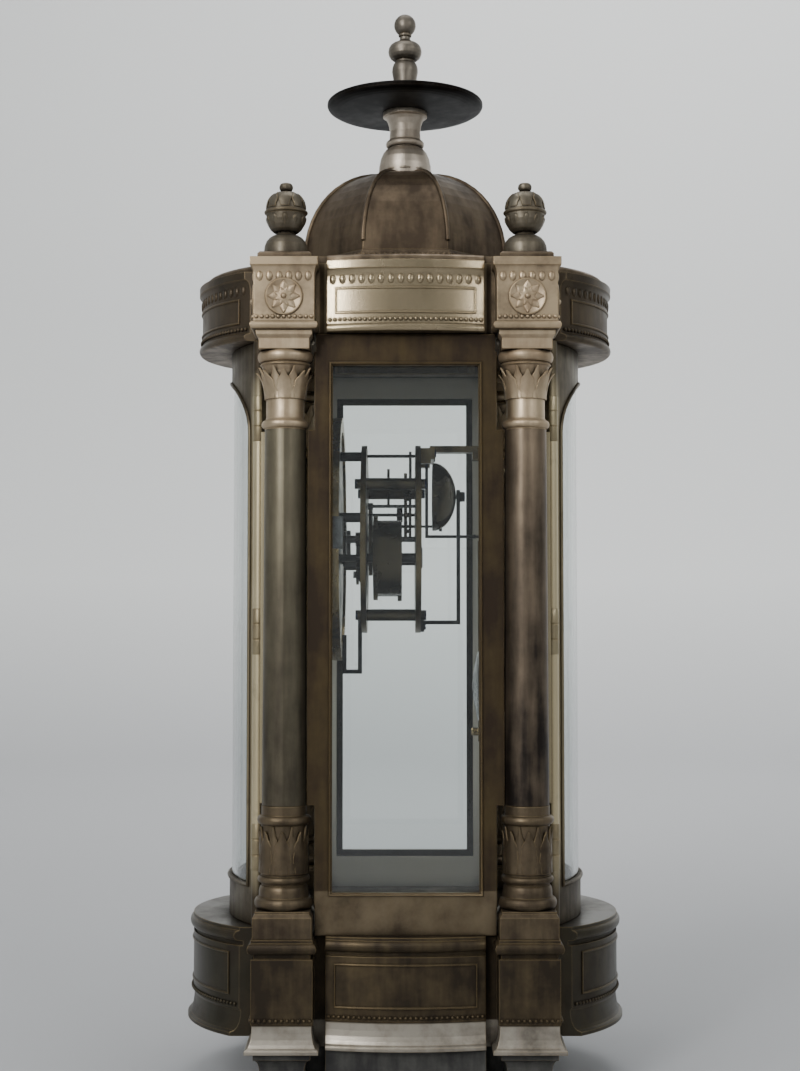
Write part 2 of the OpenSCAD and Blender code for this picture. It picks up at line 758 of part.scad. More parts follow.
// Winding arbor: square for the key, ratchet in front of the plate, hub inside the barrel
module winding_arbor(p) {
    ratchet = [for (i = [0:15]) each [polar(ratchet_r, i * 22.5), polar(ratchet_r - 1.3, i * 22.5 + 3)]];
    color("#9a9a94") {
        rod_on(p, front_plate_y - 2.4, back_y1 - 0.3, barrel_arbor_d);
        rod_on(p, great_y0 + 2.6, drum_y1 - 1.6, 9);
        on_arbor(p, dial_y - 1.5, front_plate_y - 2.3) square(3, center = true);
        on_arbor(p, front_plate_y - 1.9, front_plate_y - 0.3) polygon(ratchet);
    }
}

module going_arbor() { winding_arbor(GOING); }
module strike_arbor() { winding_arbor(STRIKE); }

// A click and its spring beside each ratchet, on the front plate
module clicks() {
    color("#8e8e88") for (s = [-1, 1]) {
        side = [s * 9.5, -8];
        reach = norm(side) - ratchet_r - 0.15;
        at = [s * GOING[0], GOING[1]] + side;
        rod_on(at, front_plate_y - 2.6, front_plate_y, 3);
        on_arbor(at, front_plate_y - 1.9, front_plate_y - 0.2) rotate(angle_of(-side))
            polygon([[-1.6, -1.4], [reach - 2, -1], [reach, 0.4], [reach - 1, 1.2], [-1.6, 1.6]]);
    }
}

module centre_wheel() {
    a = angle_of(THIRD_AT);
    color("#b59a5a") {
        rod_on([0, 0], bezel_y0 + 0.6, pivot_back, centre_d);
        on_arbor([0, 0], centre_y0, centre_y0 + 1.6) wheel_2d(CENTRE, m_centre, a);
        pinion_on([0, 0], CENTRE_PINION, m_great, meshed(angle_of(-GOING), CENTRE_PINION),
            centre_y0 + 1.4, great_y0 + 2 + pinion_over);
    }
}

module third_wheel() {
    b = angle_of(ESCAPE_AT - THIRD_AT);
    color("#b59a5a") {
        arbor(THIRD_AT);
        pinion_on(THIRD_AT, LEAVES, m_centre, meshed(angle_of(THIRD_AT), LEAVES),
            inner_front, centre_y0 + 1.6 + pinion_over);
        on_arbor(THIRD_AT, third_y0, third_y0 + 1.4) wheel_2d(THIRD, m_third, b);
    }
}

module escape_wheel() {
    teeth = [for (i = [0:ESCAPE - 1]) let (a = 360 * i / ESCAPE)
        each [polar(escape_r, a), polar(escape_r - 1.5, a + 1.6), polar(escape_r - 1.5, a + 6.4)]];
    color("#c2a765") {
        arbor(ESCAPE_AT);
        pinion_on(ESCAPE_AT, LEAVES, m_third, meshed(angle_of(ESCAPE_AT - THIRD_AT), LEAVES),
            third_y0 - pinion_over, third_y0 + 1.4 + pinion_over);
        on_arbor(ESCAPE_AT, escape_y0, escape_y0 + 1.2) difference() {
            polygon(teeth);
            crossings(escape_r - 2.6, 2.2, 4, 1.2);
        }
    }
}

// Anchor that spans the escape wheel, on an arbor that carries the crutch behind the back plate
module pallets() {
    nib_r = escape_r + 0.75;
    color("#8f949a") {
        arbor(PALLET_AT, back_y1 + 5);
        on_arbor(ESCAPE_AT, escape_y0, escape_y0 + 1.2) difference() {
            circle(r = nib_r + 1.9);
            circle(r = nib_r);
            rotate(90 + pallet_half_span + 4) square(40);
            rotate(-pallet_half_span - 4) mirror([0, 1]) square(40);
            rotate(180) square(40);
            rotate(-90) square(40);
        }
        rod_on(PALLET_AT, escape_y0, escape_y0 + 1.2, 4.4);
        on_arbor(PALLET_AT, back_y1 + 2.2, back_y1 + 3.6) {
            circle(r = 2.4);
            translate([-0.9, -crutch_l]) square([1.8, crutch_l]);
        }
        translate([0, 0, -crutch_l]) {
            rod_on(PALLET_AT, back_y1 + 2.2, pendulum_y - 1.6, 1.4);
            rod_on(PALLET_AT + [-1.9, 0], pendulum_y - 2.4, pendulum_y + 2.2, 1);
            rod_on(PALLET_AT + [1.9, 0], pendulum_y - 2.4, pendulum_y + 2.2, 1);
            on_arbor(PALLET_AT, pendulum_y - 2.6, pendulum_y - 1.6) square([4.8, 1.6], center = true);
        }
    }
}

module minute_hand() {
    y0 = dial_y - 4.2;
    color("#202024") difference() {
        on_arbor([0, 0], y0, y0 + 0.7) rotate(minute_angle) hand_outline(43, 33, 3.1);
        rod_on([0, 0], y0 - 1, y0 + 2, cannon_d);
    }
    color("#c8b070") difference() {
        rod_on([0, 0], y0 - 1, y0, 4.4);
        rod_on([0, 0], y0 - 2, y0 + 1, centre_d);
    }
}

// Tapered hand with a ring near its tip, pointing along +X
module hand_outline(reach, ring_at, ring_r) {
    difference() {
        union() {
            circle(r = 3.6);
            polygon([[0, -1.5], [ring_at, -0.7], [reach - 1, -0.5], [reach, 0],
                [reach - 1, 0.5], [ring_at, 0.7], [0, 1.5]]);
            translate([ring_at, 0]) circle(r = ring_r);
        }
        translate([ring_at + 0.3, 0]) circle(r = ring_r - 1);
    }
}

module cannon_pinion() {
    y1 = front_plate_y - 0.5;
    color("#9a9a94") difference() {
        union() {
            rod_on([0, 0], dial_y - 4.2, y1, cannon_d);
            pinion_on([0, 0], CANNON, m_cannon, 0, y1 - 2.6, y1 - 0.2);
        }
        rod_on([0, 0], dial_y - 6, y1 + 1, centre_d);
    }
}

module minute_wheel() {
    y1 = front_plate_y - 0.7;
    color("#b59a5a") difference() {
        union() {
            on_arbor(MINUTE_AT, y1 - 2, y1 - 0.8) wheel_2d(MINUTE, m_cannon, 90 + 180 / MINUTE);
            pinion_on(MINUTE_AT, MINUTE_PINION, m_hour, 90 + 180 / MINUTE_PINION, y1 - 7.6, y1 - 1);
        }
        rod_on(MINUTE_AT, y1 - 9, y1 + 1, 1.6 + 2 * run_fit);
    }
}

module hour_wheel() {
    y0 = dial_back_y + 1.4;
    color("#b59a5a") difference() {
        union() {
            on_arbor([0, 0], y0, y0 + 1.4) wheel_2d(HOUR, m_hour, -90);
            rod_on([0, 0], dial_y - 2, y0 + 1.4, pipe_d);
        }
        rod_on([0, 0], dial_y - 5, y0 + 5, cannon_d + 2 * run_fit);
    }
}

module hour_hand() {
    y0 = dial_y - 2;
    color("#202024") difference() {
        on_arbor([0, 0], y0, y0 + 0.8) rotate(hour_angle) hand_outline(29, 21, 3.4);
        rod_on([0, 0], y0 - 1, y0 + 2, pipe_d);
    }
}

module pin_wheel() {
    color("#b59a5a") {
        arbor(PIN_AT);
        pinion_on(PIN_AT, CENTRE_PINION, m_great, meshed(85, CENTRE_PINION),
            drum_y1 - 2 - pinion_over, drum_y1 + pinion_over);
        on_arbor(PIN_AT, escape_y0, escape_y0 + 1.2) wheel_2d(PIN_WHEEL, m_pin, 80);
        for (i = [0:7]) rod_on(PIN_AT + polar(11.1, i * 45), escape_y0 - 1.8, escape_y0 + 0.5, 1);
    }
}

module locking_wheel() {
    color("#b59a5a") {
        arbor(LOCK_AT);
        pinion_on(LOCK_AT, LOCK_PINION, m_pin, meshed(80, LOCK_PINION),
            escape_y0 - pinion_over, escape_y0 + 1.2 + pinion_over);
        on_arbor(LOCK_AT, lock_y0, lock_y0 + 1.2) wheel_2d(LOCK, m_lock, 160);
    }
}

module fly() {
    color("#c2a765") {
        arbor(FLY_AT);
        pinion_on(FLY_AT, LEAVES, m_lock, meshed(160, LEAVES),
            lock_y0 - pinion_over, lock_y0 + 1.2 + pinion_over);
        on_arbor(FLY_AT, lock_y0 + 3, lock_y0 + 12) {
            square([9.6, 0.6], center = true);
            circle(r = 1.6);
        }
    }
}

module hammer() {
    head = BELL_AT + [-bell_d / 2 - 0.8 - 2.5, -6] - HAMMER_AT;
    y0 = back_y1 + 9.5;
    color("#8f949a") {
        arbor(HAMMER_AT, y0 + 1.5);
        on_arbor(HAMMER_AT, escape_y0 - 1.8, escape_y0 - 0.6) {
            circle(r = 2.2);
            rotate(angle_of(PIN_AT - HAMMER_AT)) translate([0, -0.8]) square([6.5, 1.6]);
        }
        on_arbor(HAMMER_AT, y0, y0 + 1.5) {
            circle(r = 2.4);
            rotate(angle_of(head)) translate([0, -0.8]) square([norm(head), 1.6]);
        }
        rod_on(HAMMER_AT + head, y0 - 2, y0 + 3.5, 5);
    }
}

module bell() {
    wall_t = 1.2;
    r = bell_d / 2;
    outer = quarter([r, 0], [0, bell_depth], false, 9);
    inner = quarter([r - wall_t, -1], [0, bell_depth - wall_t], false, 9);
    mouth = [BELL_AT[0], bell_y - bell_depth, dial_z + BELL_AT[1]];
    color("#c2a765") translate(mouth) rotate([-90, 0, 0]) difference() {
        turn(concat([[r, 0]], outer));
        turn(concat([[r - wall_t, -1]], inner));
        translate([0, 0, -1]) cylinder(h = bell_depth + 2, d = 2.2 + 2 * run_fit);
    }
}

// Steel strap from the foot of the back plate to the crown of the bell
module bell_stand() {
    foot_z = -plate_d / 2 + 5;
    x = BELL_AT[0];
    back = bell_y + 0.2;
    color("#7f8388") {
        on_arbor([x, foot_z], back_y1, back_y1 + 1.6) square([7, 9], center = true);
        translate([x - 3.5, back_y1, dial_z + foot_z - 1]) cube([7, back + 1.6 - back_y1, 1.8]);
        translate([x - 3, back, dial_z + foot_z - 1]) cube([6, 1.6, BELL_AT[1] - foot_z + 4]);
        rod_on(BELL_AT, bell_y - 2.4, back + 0.5, 2.2);
        rod_on(BELL_AT, back + 1.6, back + 3, 4.6);
        rod_on(BELL_AT, bell_y - bell_depth + 5, bell_y - 1.9, 4.6);
    }
}

// Bridge on the back plate that carries the pallet arbor and the suspension of the pendulum
module back_cock() {
    z = PALLET_AT[1];
    foot_x = 11;
    foot_t = 4.4;
    bar_w = 2 * foot_x + 6;
    arm_w = 8;
    cheek_l = 7;
    arm_end = pendulum_y + cheek_l - 3;
    color("#a88f52") difference() {
        union() {
            for (s = [-foot_x, foot_x])
                on_arbor([s, z - 1], back_y1, back_y1 + foot_t + 0.2) square([6, 7], center = true);
            on_arbor([0, z + 0.2], back_y1 + foot_t, back_y1 + foot_t + 2)
                square([bar_w, 5.6], center = true);
            translate([-arm_w / 2, back_y1 + foot_t, dial_z + z + 1.5])
                cube([arm_w, arm_end - back_y1 - foot_t, 3]);
            for (x = [-arm_w / 2, arm_w / 2 - 2.8])
                translate([x, pendulum_y - 3, dial_z + z - 2]) cube([2.8, cheek_l, 5]);
        }
        rod_on(PALLET_AT, back_y1 + 4, back_y1 + 8, pivot_d + 2 * run_fit);
    }
}

module pendulum() {
    top = PALLET_AT[1];
    color("#b59a5a") {
        rod_on(PALLET_AT, pendulum_y - 2.4, pendulum_y + 3.4, 1.6);
        translate([-1, pendulum_y + 0.2, bob_z]) cube([2, 0.6, suspension_z - bob_z]);
        translate([-1.1, pendulum_y - 0.6, bob_z - bob_d / 2 - 10]) cube([2.2, 2.2, pendulum_l - 14]);
    }
    color("#8b8880") {
        translate([0, pendulum_y + 0.5, bob_z]) rotate([-90, 0, 0]) lens(bob_d / 2, 6);
        translate([0, pendulum_y + 0.5, bob_z - bob_d / 2 - 7]) cylinder(h = 3.5, d = 8);
    }
}

// Lens-shaped disc about its middle plane
module lens(r, t) {
    up = quarter([r, 0.8], [r * 0.4, t / 2], true, 6);
    turn(concat([for (i = [len(up) - 1:-1:0]) [up[i][0], -up[i][1]]], [[r, -0.8], [r, 0.8]], up));
}

// Dial
module bezel() {
    r = bezel_d / 2;
    inner = dial_d / 2 + 0.4;
    ring = concat([[inner, 0], [r, 0], [r, bezel_t - 7]],
        quarter([r, bezel_t - 7], [r - 2.4, bezel_t - 3], false),
        quarter([r - 2.4, bezel_t - 3], [inner - 1, bezel_t], true),
        [[inner - 2.4, bezel_t - 1], [inner - 2.4, bezel_t - 3.6], [inner, bezel_t - 3.6]]);
    color("#8a7748") translate([0, bezel_y1, dial_z]) rotate([90, 0, 0])
        rotate_extrude($fn = 96) polygon(ring);
}

module dial_holes(y0, y1) {
    rod_on([0, 0], y0 - 1, y1 + 1, pipe_d + 1.4);
    for (p = [GOING, STRIKE]) rod_on(p, y0 - 1, y1 + 1, 6.4);
}

module dial_plate() {
    color("#b59a5a") difference() {
        rod_on([0, 0], dial_back_y - dial_plate_t, dial_back_y, dial_d);
        dial_holes(dial_back_y - dial_plate_t, dial_back_y);
    }
}

module dial() {
    color("#efe9dc") difference() {
        rod_on([0, 0], dial_y, dial_back_y - dial_plate_t, dial_d);
        dial_holes(dial_y, dial_back_y);
    }
}

// Lugs that screw the bezel to the front stiles of the side frames
module bezel_lugs() {
    x0 = bezel_d / 2 - 2.6;
    lug_h = 14;
    lug_t = 2;
    color("#8d8a80") for (s = [-1, 1]) {
        translate([s > 0 ? x0 : -frame_x0, bezel_y1, dial_z - lug_h / 2]) cube([frame_x0 - x0, lug_t, lug_h]);
        difference() {
            translate([s > 0 ? frame_x0 - lug_t : -frame_x0, bezel_y1 - 8, dial_z - lug_h / 2])
                cube([lug_t, 8 + lug_t / 2, lug_h]);
            rod_on([0, 0], bezel_y0, bezel_y1, bezel_d + 2 * gap);
        }
        for (z = [-4, 4]) translate([s * (frame_x0 - 3), bezel_y1 - 4, dial_z + z]) rotate([0, 90, 0])
            cylinder(h = 3, d = 3.4, center = true);
    }
}

// Three pillars and the U-shaped strap that hold the movement behind the dial
module dial_supports() {
    strap_w = 8;
    z_low = -plate_d / 2 - 19;
    color("#6f7276") {
        for (a = [0, 180]) rod_on(polar(plate_d / 2 - 5.5, a + 12), dial_back_y, front_plate_y, 4.4);
        rod_on([0, plate_d / 2 - 5], dial_back_y, front_plate_y, 4.4);
        translate([-strap_w / 2, bezel_y1, dial_z + z_low]) cube([strap_w, 1.8, -z_low - dial_d / 2 + 5]);
        translate([-strap_w / 2, bezel_y1, dial_z + z_low]) cube([strap_w, front_plate_y - bezel_y1, 1.8]);
        translate([-strap_w / 2, front_plate_y - 1.8, dial_z + z_low])
            cube([strap_w, 1.8, -z_low - plate_d / 2 + 7]);
        rod_on(MINUTE_AT, front_plate_y - 9, front_plate_y, 1.6);
    }
}

feet();
base_frame();
plinth();
column_bases();
column_front_left();
column_front_right();
column_rear_left();
column_rear_right();
capitals();
cornice();
rosettes();
roof_plate();
dome();
finial_stem();
smoke_cap();
finial_spindle();
corner_finials();
tie_rods();
tie_nuts();
side_frame_left();
side_frame_right();
side_glass_left();
side_glass_right();
door_jambs();
front_door_frame();
front_glass();
front_catch();
rear_door_frame();
rear_glass();
rear_catch();
bezel();
dial_plate();
dial();
bezel_lugs();
dial_supports();
front_plate();
back_plate();
plate_pillars();
clicks();
bell();
bell_stand();
back_cock();
going_barrel();
going_arbor();
strike_barrel();
strike_arbor();
centre_wheel();
cannon_pinion();
minute_hand();
minute_wheel();
hour_wheel();
hour_hand();
third_wheel();
escape_wheel();
pallets();
pin_wheel();
locking_wheel();
fly();
hammer();
pendulum();
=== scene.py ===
"""Looks of a glazed mantel clock: a bronze and brass case, its bowed doors and its movement.

Everything is in metres in the part's own frame: the dial faces -Y, +X is to the right of someone
who faces the dial, and +Z is up. The photograph was taken from +X, so it shows the clock's side.
Sizes are written in millimetres, and turned to metres where a mesh or a texture is made.
"""

import logging
import math
from dataclasses import dataclass, field
from enum import Enum
from typing import Any, Callable, Sequence

import bmesh
import bpy
from mathutils import Matrix, Vector

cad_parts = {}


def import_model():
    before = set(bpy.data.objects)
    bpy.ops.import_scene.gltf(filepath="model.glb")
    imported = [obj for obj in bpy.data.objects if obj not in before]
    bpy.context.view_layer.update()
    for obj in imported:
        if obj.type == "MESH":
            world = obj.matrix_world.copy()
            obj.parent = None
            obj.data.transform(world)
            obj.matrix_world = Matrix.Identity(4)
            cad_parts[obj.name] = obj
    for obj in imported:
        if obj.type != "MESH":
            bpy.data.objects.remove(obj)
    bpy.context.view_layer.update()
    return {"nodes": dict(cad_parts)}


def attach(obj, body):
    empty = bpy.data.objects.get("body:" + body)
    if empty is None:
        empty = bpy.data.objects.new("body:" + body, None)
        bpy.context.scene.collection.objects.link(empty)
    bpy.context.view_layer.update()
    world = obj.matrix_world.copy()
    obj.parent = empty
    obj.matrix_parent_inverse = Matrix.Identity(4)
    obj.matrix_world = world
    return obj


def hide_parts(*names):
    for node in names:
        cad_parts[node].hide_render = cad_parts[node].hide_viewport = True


LOG = logging.getLogger("mantel_clock")
MM = 0.001

# Places that several sub-assemblies share, in millimetres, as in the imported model
COLUMN_X, COLUMN_Y = 68.0, 52.0
DIAL_Z = 245.0
WINDING_X, WINDING_Z = 19.994, -9.494

Point = tuple[float, float, float]
Shape = bmesh.types.BMesh
Socket = bpy.types.NodeSocket
Tree = bpy.types.NodeTree


def linear(code: str) -> tuple[float, float, float, float]:
    """Turn an sRGB hex colour into the linear colour that a shader takes.

    Args:
        code: A colour such as "#8a7752".

    Returns:
        Red, green and blue in linear light, and an alpha of 1.
    """
    parts = [int(code[i:i + 2], 16) / 255 for i in (1, 3, 5)]
    red, green, blue = (c / 12.92 if c <= 0.04045 else ((c + 0.055) / 1.055) ** 2.4
                        for c in parts)
    return red, green, blue, 1.0


def per_metre(millimetres: float) -> float:
    """Return the scale of a texture whose features are this many millimetres apart."""
    return 1 / (millimetres * MM)


def set_inputs(tree: Tree, node: bpy.types.Node, inputs: dict[Any, Any]) -> None:
    """Give a node's inputs their values and links.

    Args:
        tree: The tree that the node is in.
        node: The node.
        inputs: For each input's name or number, a value or the output that it is linked to.
    """
    for key, value in inputs.items():
        if isinstance(value, Socket):
            tree.links.new(value, node.inputs[key])
        else:
            node.inputs[key].default_value = value


def add_node(tree: Tree, kind: str, inputs: dict[Any, Any] | None = None,
             **settings: Any) -> bpy.types.Node:
    """Add a node to a tree, with its settings, values and links.

    Args:
        tree: The tree of a material, the world or a geometry modifier.
        kind: The node's type name.
        inputs: For each input's name or number, a value or the output that it is linked to.
        **settings: The node's own settings.

    Returns:
        The new node.
    """
    node = tree.nodes.new(kind)
    for name, value in settings.items():
        setattr(node, name, value)
    set_inputs(tree, node, inputs or {})
    return node


# ---------------------------------------------------------------- finishes
#
# A Mix node's inputs go by number: 0 is the share, 2 and 3 are two numbers, and 6 and 7 are
# two colours. Output 0 gives the mixed number, and output 2 the mixed colour.

FAR = 999.0  # a zone's bound that lies beyond the clock


@dataclass(frozen=True)
class Finish:
    """What a surface is made of, with a rule for how it looks at each point of the object."""

    name: str

    def material(self) -> bpy.types.Material:
        """Build the material.

        Returns:
            The material, with its patterns on the object's own coordinates.
        """
        mat = bpy.data.materials.new(self.name)
        mat.use_nodes = True
        tree = mat.node_tree
        place = add_node(tree, "ShaderNodeTexCoord").outputs["Object"]
        set_inputs(tree, tree.nodes["Principled BSDF"], self.surface(tree, place))
        return mat

    def surface(self, tree: Tree, place: Socket) -> dict[str, Any]:
        """Add the surface's nodes. Each kind of finish has its own.

        Args:
            tree: The material's tree.
            place: The point's place on the object.

        Returns:
            A value or an output for each of the shader's inputs that is not left plain.
        """
        raise NotImplementedError


@dataclass(frozen=True)
class Zone:
    """Box of a casting painted in another metal colour and roughness than the rest: mostly painted
    light or painted shade, and on the side friezes a truer polish.

    Its bounds are in millimetres, on coordinates that are mirrored about the clock's middle, so
    each zone is there on both sides. A bound of 0 or FAR is left open.
    """

    metal: str
    low: Point
    high: Point
    soft: Point = (0.6, 0.6, 0.6)
    cover: float = 0.74
    ragged: float = 0.32
    rough: float = 0.34

    def mask(self, tree: Tree, place: Socket, patches: Socket) -> Socket:
        """Add the nodes that find the zone.

        Args:
            tree: The material's tree.
            place: The point's place on the object.
            patches: The film's noise, which breaks the polish up.

        Returns:
            1 inside the zone and 0 outside it, less where the film is thick.
        """
        mirrored = add_node(tree, "ShaderNodeVectorMath", {0: place},
                            operation="ABSOLUTE").outputs[0]
        axes = add_node(tree, "ShaderNodeSeparateXYZ", {0: mirrored}).outputs
        inside = add_node(tree, "ShaderNodeMapRange", {
            "Value": patches, "From Min": self.cover,
            "From Max": self.cover - self.ragged}).outputs[0]
        for axis, low, high, soft in zip(axes, self.low, self.high, self.soft):
            for bound, inward in ((low, soft), (high, -soft)):
                if 0 < bound < FAR:
                    side = add_node(tree, "ShaderNodeMapRange", {
                        "Value": axis, "From Min": bound * MM,
                        "From Max": (bound + inward) * MM}).outputs[0]
                    inside = add_node(tree, "ShaderNodeMath", {0: inside, 1: side},
                                      operation="MULTIPLY").outputs[0]
        return inside


@dataclass(frozen=True)
class AgedMetal(Finish):
    """Copper alloy, cast or spun and once polished, gone brown with age.

    The eye sees a warm metal under a brown film that is thin where hands and cloths rub the
    edges, thick in the hollows, and never even across a face. On some pieces the film is
    thickened towards the clock's foot as painted shade, and most zones are painted light or
    painted shade.
    """

    metal: str
    film: str
    dirt: str = "#17110b"
    rubbed: str = "#c9ae7c"
    film_cover: float = 0.6
    film_edge: float = 0.12
    # Painted shade: how much the film thickens towards the foot, where less light falls
    painted_low_shade: float = 0.0
    painted_low_shade_mm: tuple[float, float] = (320.0, 100.0)
    streak: float = 0.35
    streak_stretch: float = 0.16
    rough: float = 0.34
    film_rough: float = 0.16
    film_metallic: float = 0.72
    wear: float = 0.6
    patch_mm: float = 26.0
    hollow_mm: float = 7.0
    edge_mm: float = 0.7
    grain_mm: float = 0.7
    grain_depth_mm: float = 0.02
    zones: tuple[Zone, ...] = ()

    def film_share(self, tree: Tree, place: Socket, patches: Socket) -> Socket:
        """Add the nodes that lay the film in patches and in streaks that run down.

        Args:
            tree: The material's tree.
            place: The point's place on the object.
            patches: The patches' noise.

        Returns:
            1 where the film hides the metal and 0 where the metal is bare.
        """
        tall = add_node(tree, "ShaderNodeMapping", {
            "Vector": place, "Scale": (1.0, 1.0, self.streak_stretch)}).outputs[0]
        streaks = add_node(tree, "ShaderNodeTexNoise", {
            "Vector": tall, "Scale": per_metre(self.patch_mm / 5), "Detail": 3.0}).outputs["Fac"]
        mixed = add_node(tree, "ShaderNodeMix", {
            0: self.streak, 2: patches, 3: streaks}).outputs[0]
        height = add_node(tree, "ShaderNodeSeparateXYZ", {0: place}).outputs["Z"]
        # Painted shade: the film is thickened towards the foot, where less light falls from above
        start, end = self.painted_low_shade_mm
        low = add_node(tree, "ShaderNodeMapRange", {
            "Value": height, "From Min": start * MM, "From Max": end * MM,
            "To Max": self.painted_low_shade}).outputs[0]
        amount = add_node(tree, "ShaderNodeMath", {0: mixed, 1: low}, operation="ADD").outputs[0]
        # The noise's values lie close round 0.49, so the film's limit moves a little way with
        # its cover
        limit = 0.49 + 0.22 * (0.5 - self.film_cover)
        return add_node(tree, "ShaderNodeMapRange", {
            "Value": amount, "From Min": limit - self.film_edge,
            "From Max": limit + self.film_edge}).outputs[0]

    def rubbed_share(self, tree: Tree, soft: Socket, patches: Socket) -> Socket:
        """Add the nodes that find the edges that hands and cloths have rubbed.

        Args:
            tree: The material's tree.
            soft: The normal of a surface whose edges are rounded.
            patches: The film's noise, which breaks the wear up.

        Returns:
            1 where an edge is worn bright and 0 where nothing has worn.
        """
        true = add_node(tree, "ShaderNodeNewGeometry").outputs["Normal"]
        bend = add_node(tree, "ShaderNodeVectorMath", {0: soft, 1: true},
                        operation="DOT_PRODUCT").outputs["Value"]
        edge = add_node(tree, "ShaderNodeMapRange", {
            "Value": bend, "From Min": 0.995, "From Max": 0.86, "To Max": self.wear}).outputs[0]
        return add_node(tree, "ShaderNodeMath", {0: edge, 1: patches}, operation="MULTIPLY",
                        use_clamp=True).outputs[0]

    def surface(self, tree: Tree, place: Socket) -> dict[str, Any]:
        """Add the metal's nodes: film, zones of painted light, painted shade and polish, worn
        edges, dirt in hollows and grain.

        Args:
            tree: The material's tree.
            place: The point's place on the object.

        Returns:
            The shader's inputs.
        """
        patches = add_node(tree, "ShaderNodeTexNoise", {
            "Vector": place, "Scale": per_metre(self.patch_mm), "Detail": 5.0,
            "Roughness": 0.62}).outputs["Fac"]
        film = self.film_share(tree, place, patches)
        colour = add_node(tree, "ShaderNodeMix", {
            0: film, 6: linear(self.metal), 7: linear(self.film)}, data_type="RGBA").outputs[2]
        rough = add_node(tree, "ShaderNodeMapRange", {
            "Value": film, "To Min": self.rough,
            "To Max": self.rough + self.film_rough}).outputs[0]
        # Each zone repaints a box in another metal colour: painted light or painted shade on most
        # castings, a true polish on the side friezes
        for zone in self.zones:
            inside = zone.mask(tree, place, patches)
            colour = add_node(tree, "ShaderNodeMix", {
                0: inside, 6: colour, 7: linear(zone.metal)}, data_type="RGBA").outputs[2]
            rough = add_node(tree, "ShaderNodeMix", {
                0: inside, 2: rough, 3: zone.rough}).outputs[0]

        hollow = add_node(tree, "ShaderNodeAmbientOcclusion", {
            "Distance": self.hollow_mm * MM}, samples=4).outputs["AO"]
        dirt = add_node(tree, "ShaderNodeMapRange", {
            "Value": hollow, "From Min": 0.25, "From Max": 0.85, "To Min": 0.9,
            "To Max": 0.0}).outputs[0]
        soft = add_node(tree, "ShaderNodeBevel", {"Radius": self.edge_mm * MM},
                        samples=4).outputs[0]
        worn = self.rubbed_share(tree, soft, patches)
        for share, code in ((worn, self.rubbed), (dirt, self.dirt)):
            colour = add_node(tree, "ShaderNodeMix", {
                0: share, 6: colour, 7: linear(code)}, data_type="RGBA").outputs[2]
        rough = add_node(tree, "ShaderNodeMath", {0: dirt, 1: 0.4, 2: rough},
                         operation="MULTIPLY_ADD", use_clamp=True).outputs[0]

        grain = add_node(tree, "ShaderNodeTexNoise", {
            "Vector": place, "Scale": per_metre(self.grain_mm), "Detail": 2.0}).outputs["Fac"]
        bump = add_node(tree, "ShaderNodeBump", {
            "Height": grain, "Distance": self.grain_depth_mm * MM, "Normal": soft}).outputs[0]
        metallic = add_node(tree, "ShaderNodeMapRange", {
            "Value": film, "To Min": 1.0, "To Max": self.film_metallic}).outputs[0]
        return {"Base Color": colour, "Roughness": rough, "Metallic": metallic, "Normal": bump}


@dataclass(frozen=True)
class MachinedMetal(Finish):
    """Metal filed, turned and stoned bright in the clockmaker's shop, under thin old lacquer.

    The eye sees fine straight or round tool marks, a few tarnished clouds, and, on an arbor's
    piece, a core of another metal inside a given radius.
    """

    metal: str
    tarnish: str
    rough: float = 0.22
    tarnish_rough: float = 0.15
    tarnish_from: float = 0.43
    tarnish_to: float = 0.67
    cloud_mm: float = 14.0
    mark_mm: float = 0.35
    mark_depth_mm: float = 0.006
    mark_stretch: float = 0.02
    axis: tuple[float, float] | None = None
    core: str = ""
    core_radius: float = 0.0

    def surface(self, tree: Tree, place: Socket) -> dict[str, Any]:
        """Add the metal's nodes: tarnished clouds, tool marks and the core.

        Args:
            tree: The material's tree.
            place: The point's place on the object.

        Returns:
            The shader's inputs.
        """
        clouds = add_node(tree, "ShaderNodeTexNoise", {
            "Vector": place, "Scale": per_metre(self.cloud_mm), "Detail": 4.0,
            "Roughness": 0.6}).outputs["Fac"]
        stain = add_node(tree, "ShaderNodeMapRange", {
            "Value": clouds, "From Min": self.tarnish_from,
            "From Max": self.tarnish_to}).outputs[0]
        colour = add_node(tree, "ShaderNodeMix", {
            0: stain, 6: linear(self.metal), 7: linear(self.tarnish)},
            data_type="RGBA").outputs[2]
        if self.axis is None:
            drawn = add_node(tree, "ShaderNodeMapping", {
                "Vector": place, "Scale": (1.0, 1.0, self.mark_stretch)}).outputs[0]
            marks = add_node(tree, "ShaderNodeTexNoise", {
                "Vector": drawn, "Scale": per_metre(self.mark_mm)}).outputs["Fac"]
        else:
            x, z = self.axis
            centred = add_node(tree, "ShaderNodeVectorMath", {0: place, 1: (x * MM, 0.0, z * MM)},
                               operation="SUBTRACT").outputs[0]
            flat = add_node(tree, "ShaderNodeVectorMath", {0: centred, 1: (1.0, 0.0, 1.0)},
                            operation="MULTIPLY").outputs[0]
            radius = add_node(tree, "ShaderNodeVectorMath", {0: flat},
                              operation="LENGTH").outputs["Value"]
            marks = add_node(tree, "ShaderNodeTexNoise", {
                "W": radius, "Scale": per_metre(self.mark_mm)},
                noise_dimensions="1D").outputs["Fac"]
            if self.core:
                inside = add_node(tree, "ShaderNodeMath", {0: radius, 1: self.core_radius * MM},
                                  operation="LESS_THAN").outputs[0]
                colour = add_node(tree, "ShaderNodeMix", {
                    0: inside, 6: colour, 7: linear(self.core)}, data_type="RGBA").outputs[2]
        rough = add_node(tree, "ShaderNodeMapRange", {
            "Value": stain, "To Min": self.rough,
            "To Max": self.rough + self.tarnish_rough}).outputs[0]
        bump = add_node(tree, "ShaderNodeBump", {
            "Height": marks, "Distance": self.mark_depth_mm * MM}).outputs[0]
        return {"Base Color": colour, "Roughness": rough, "Metallic": 1.0, "Normal": bump}


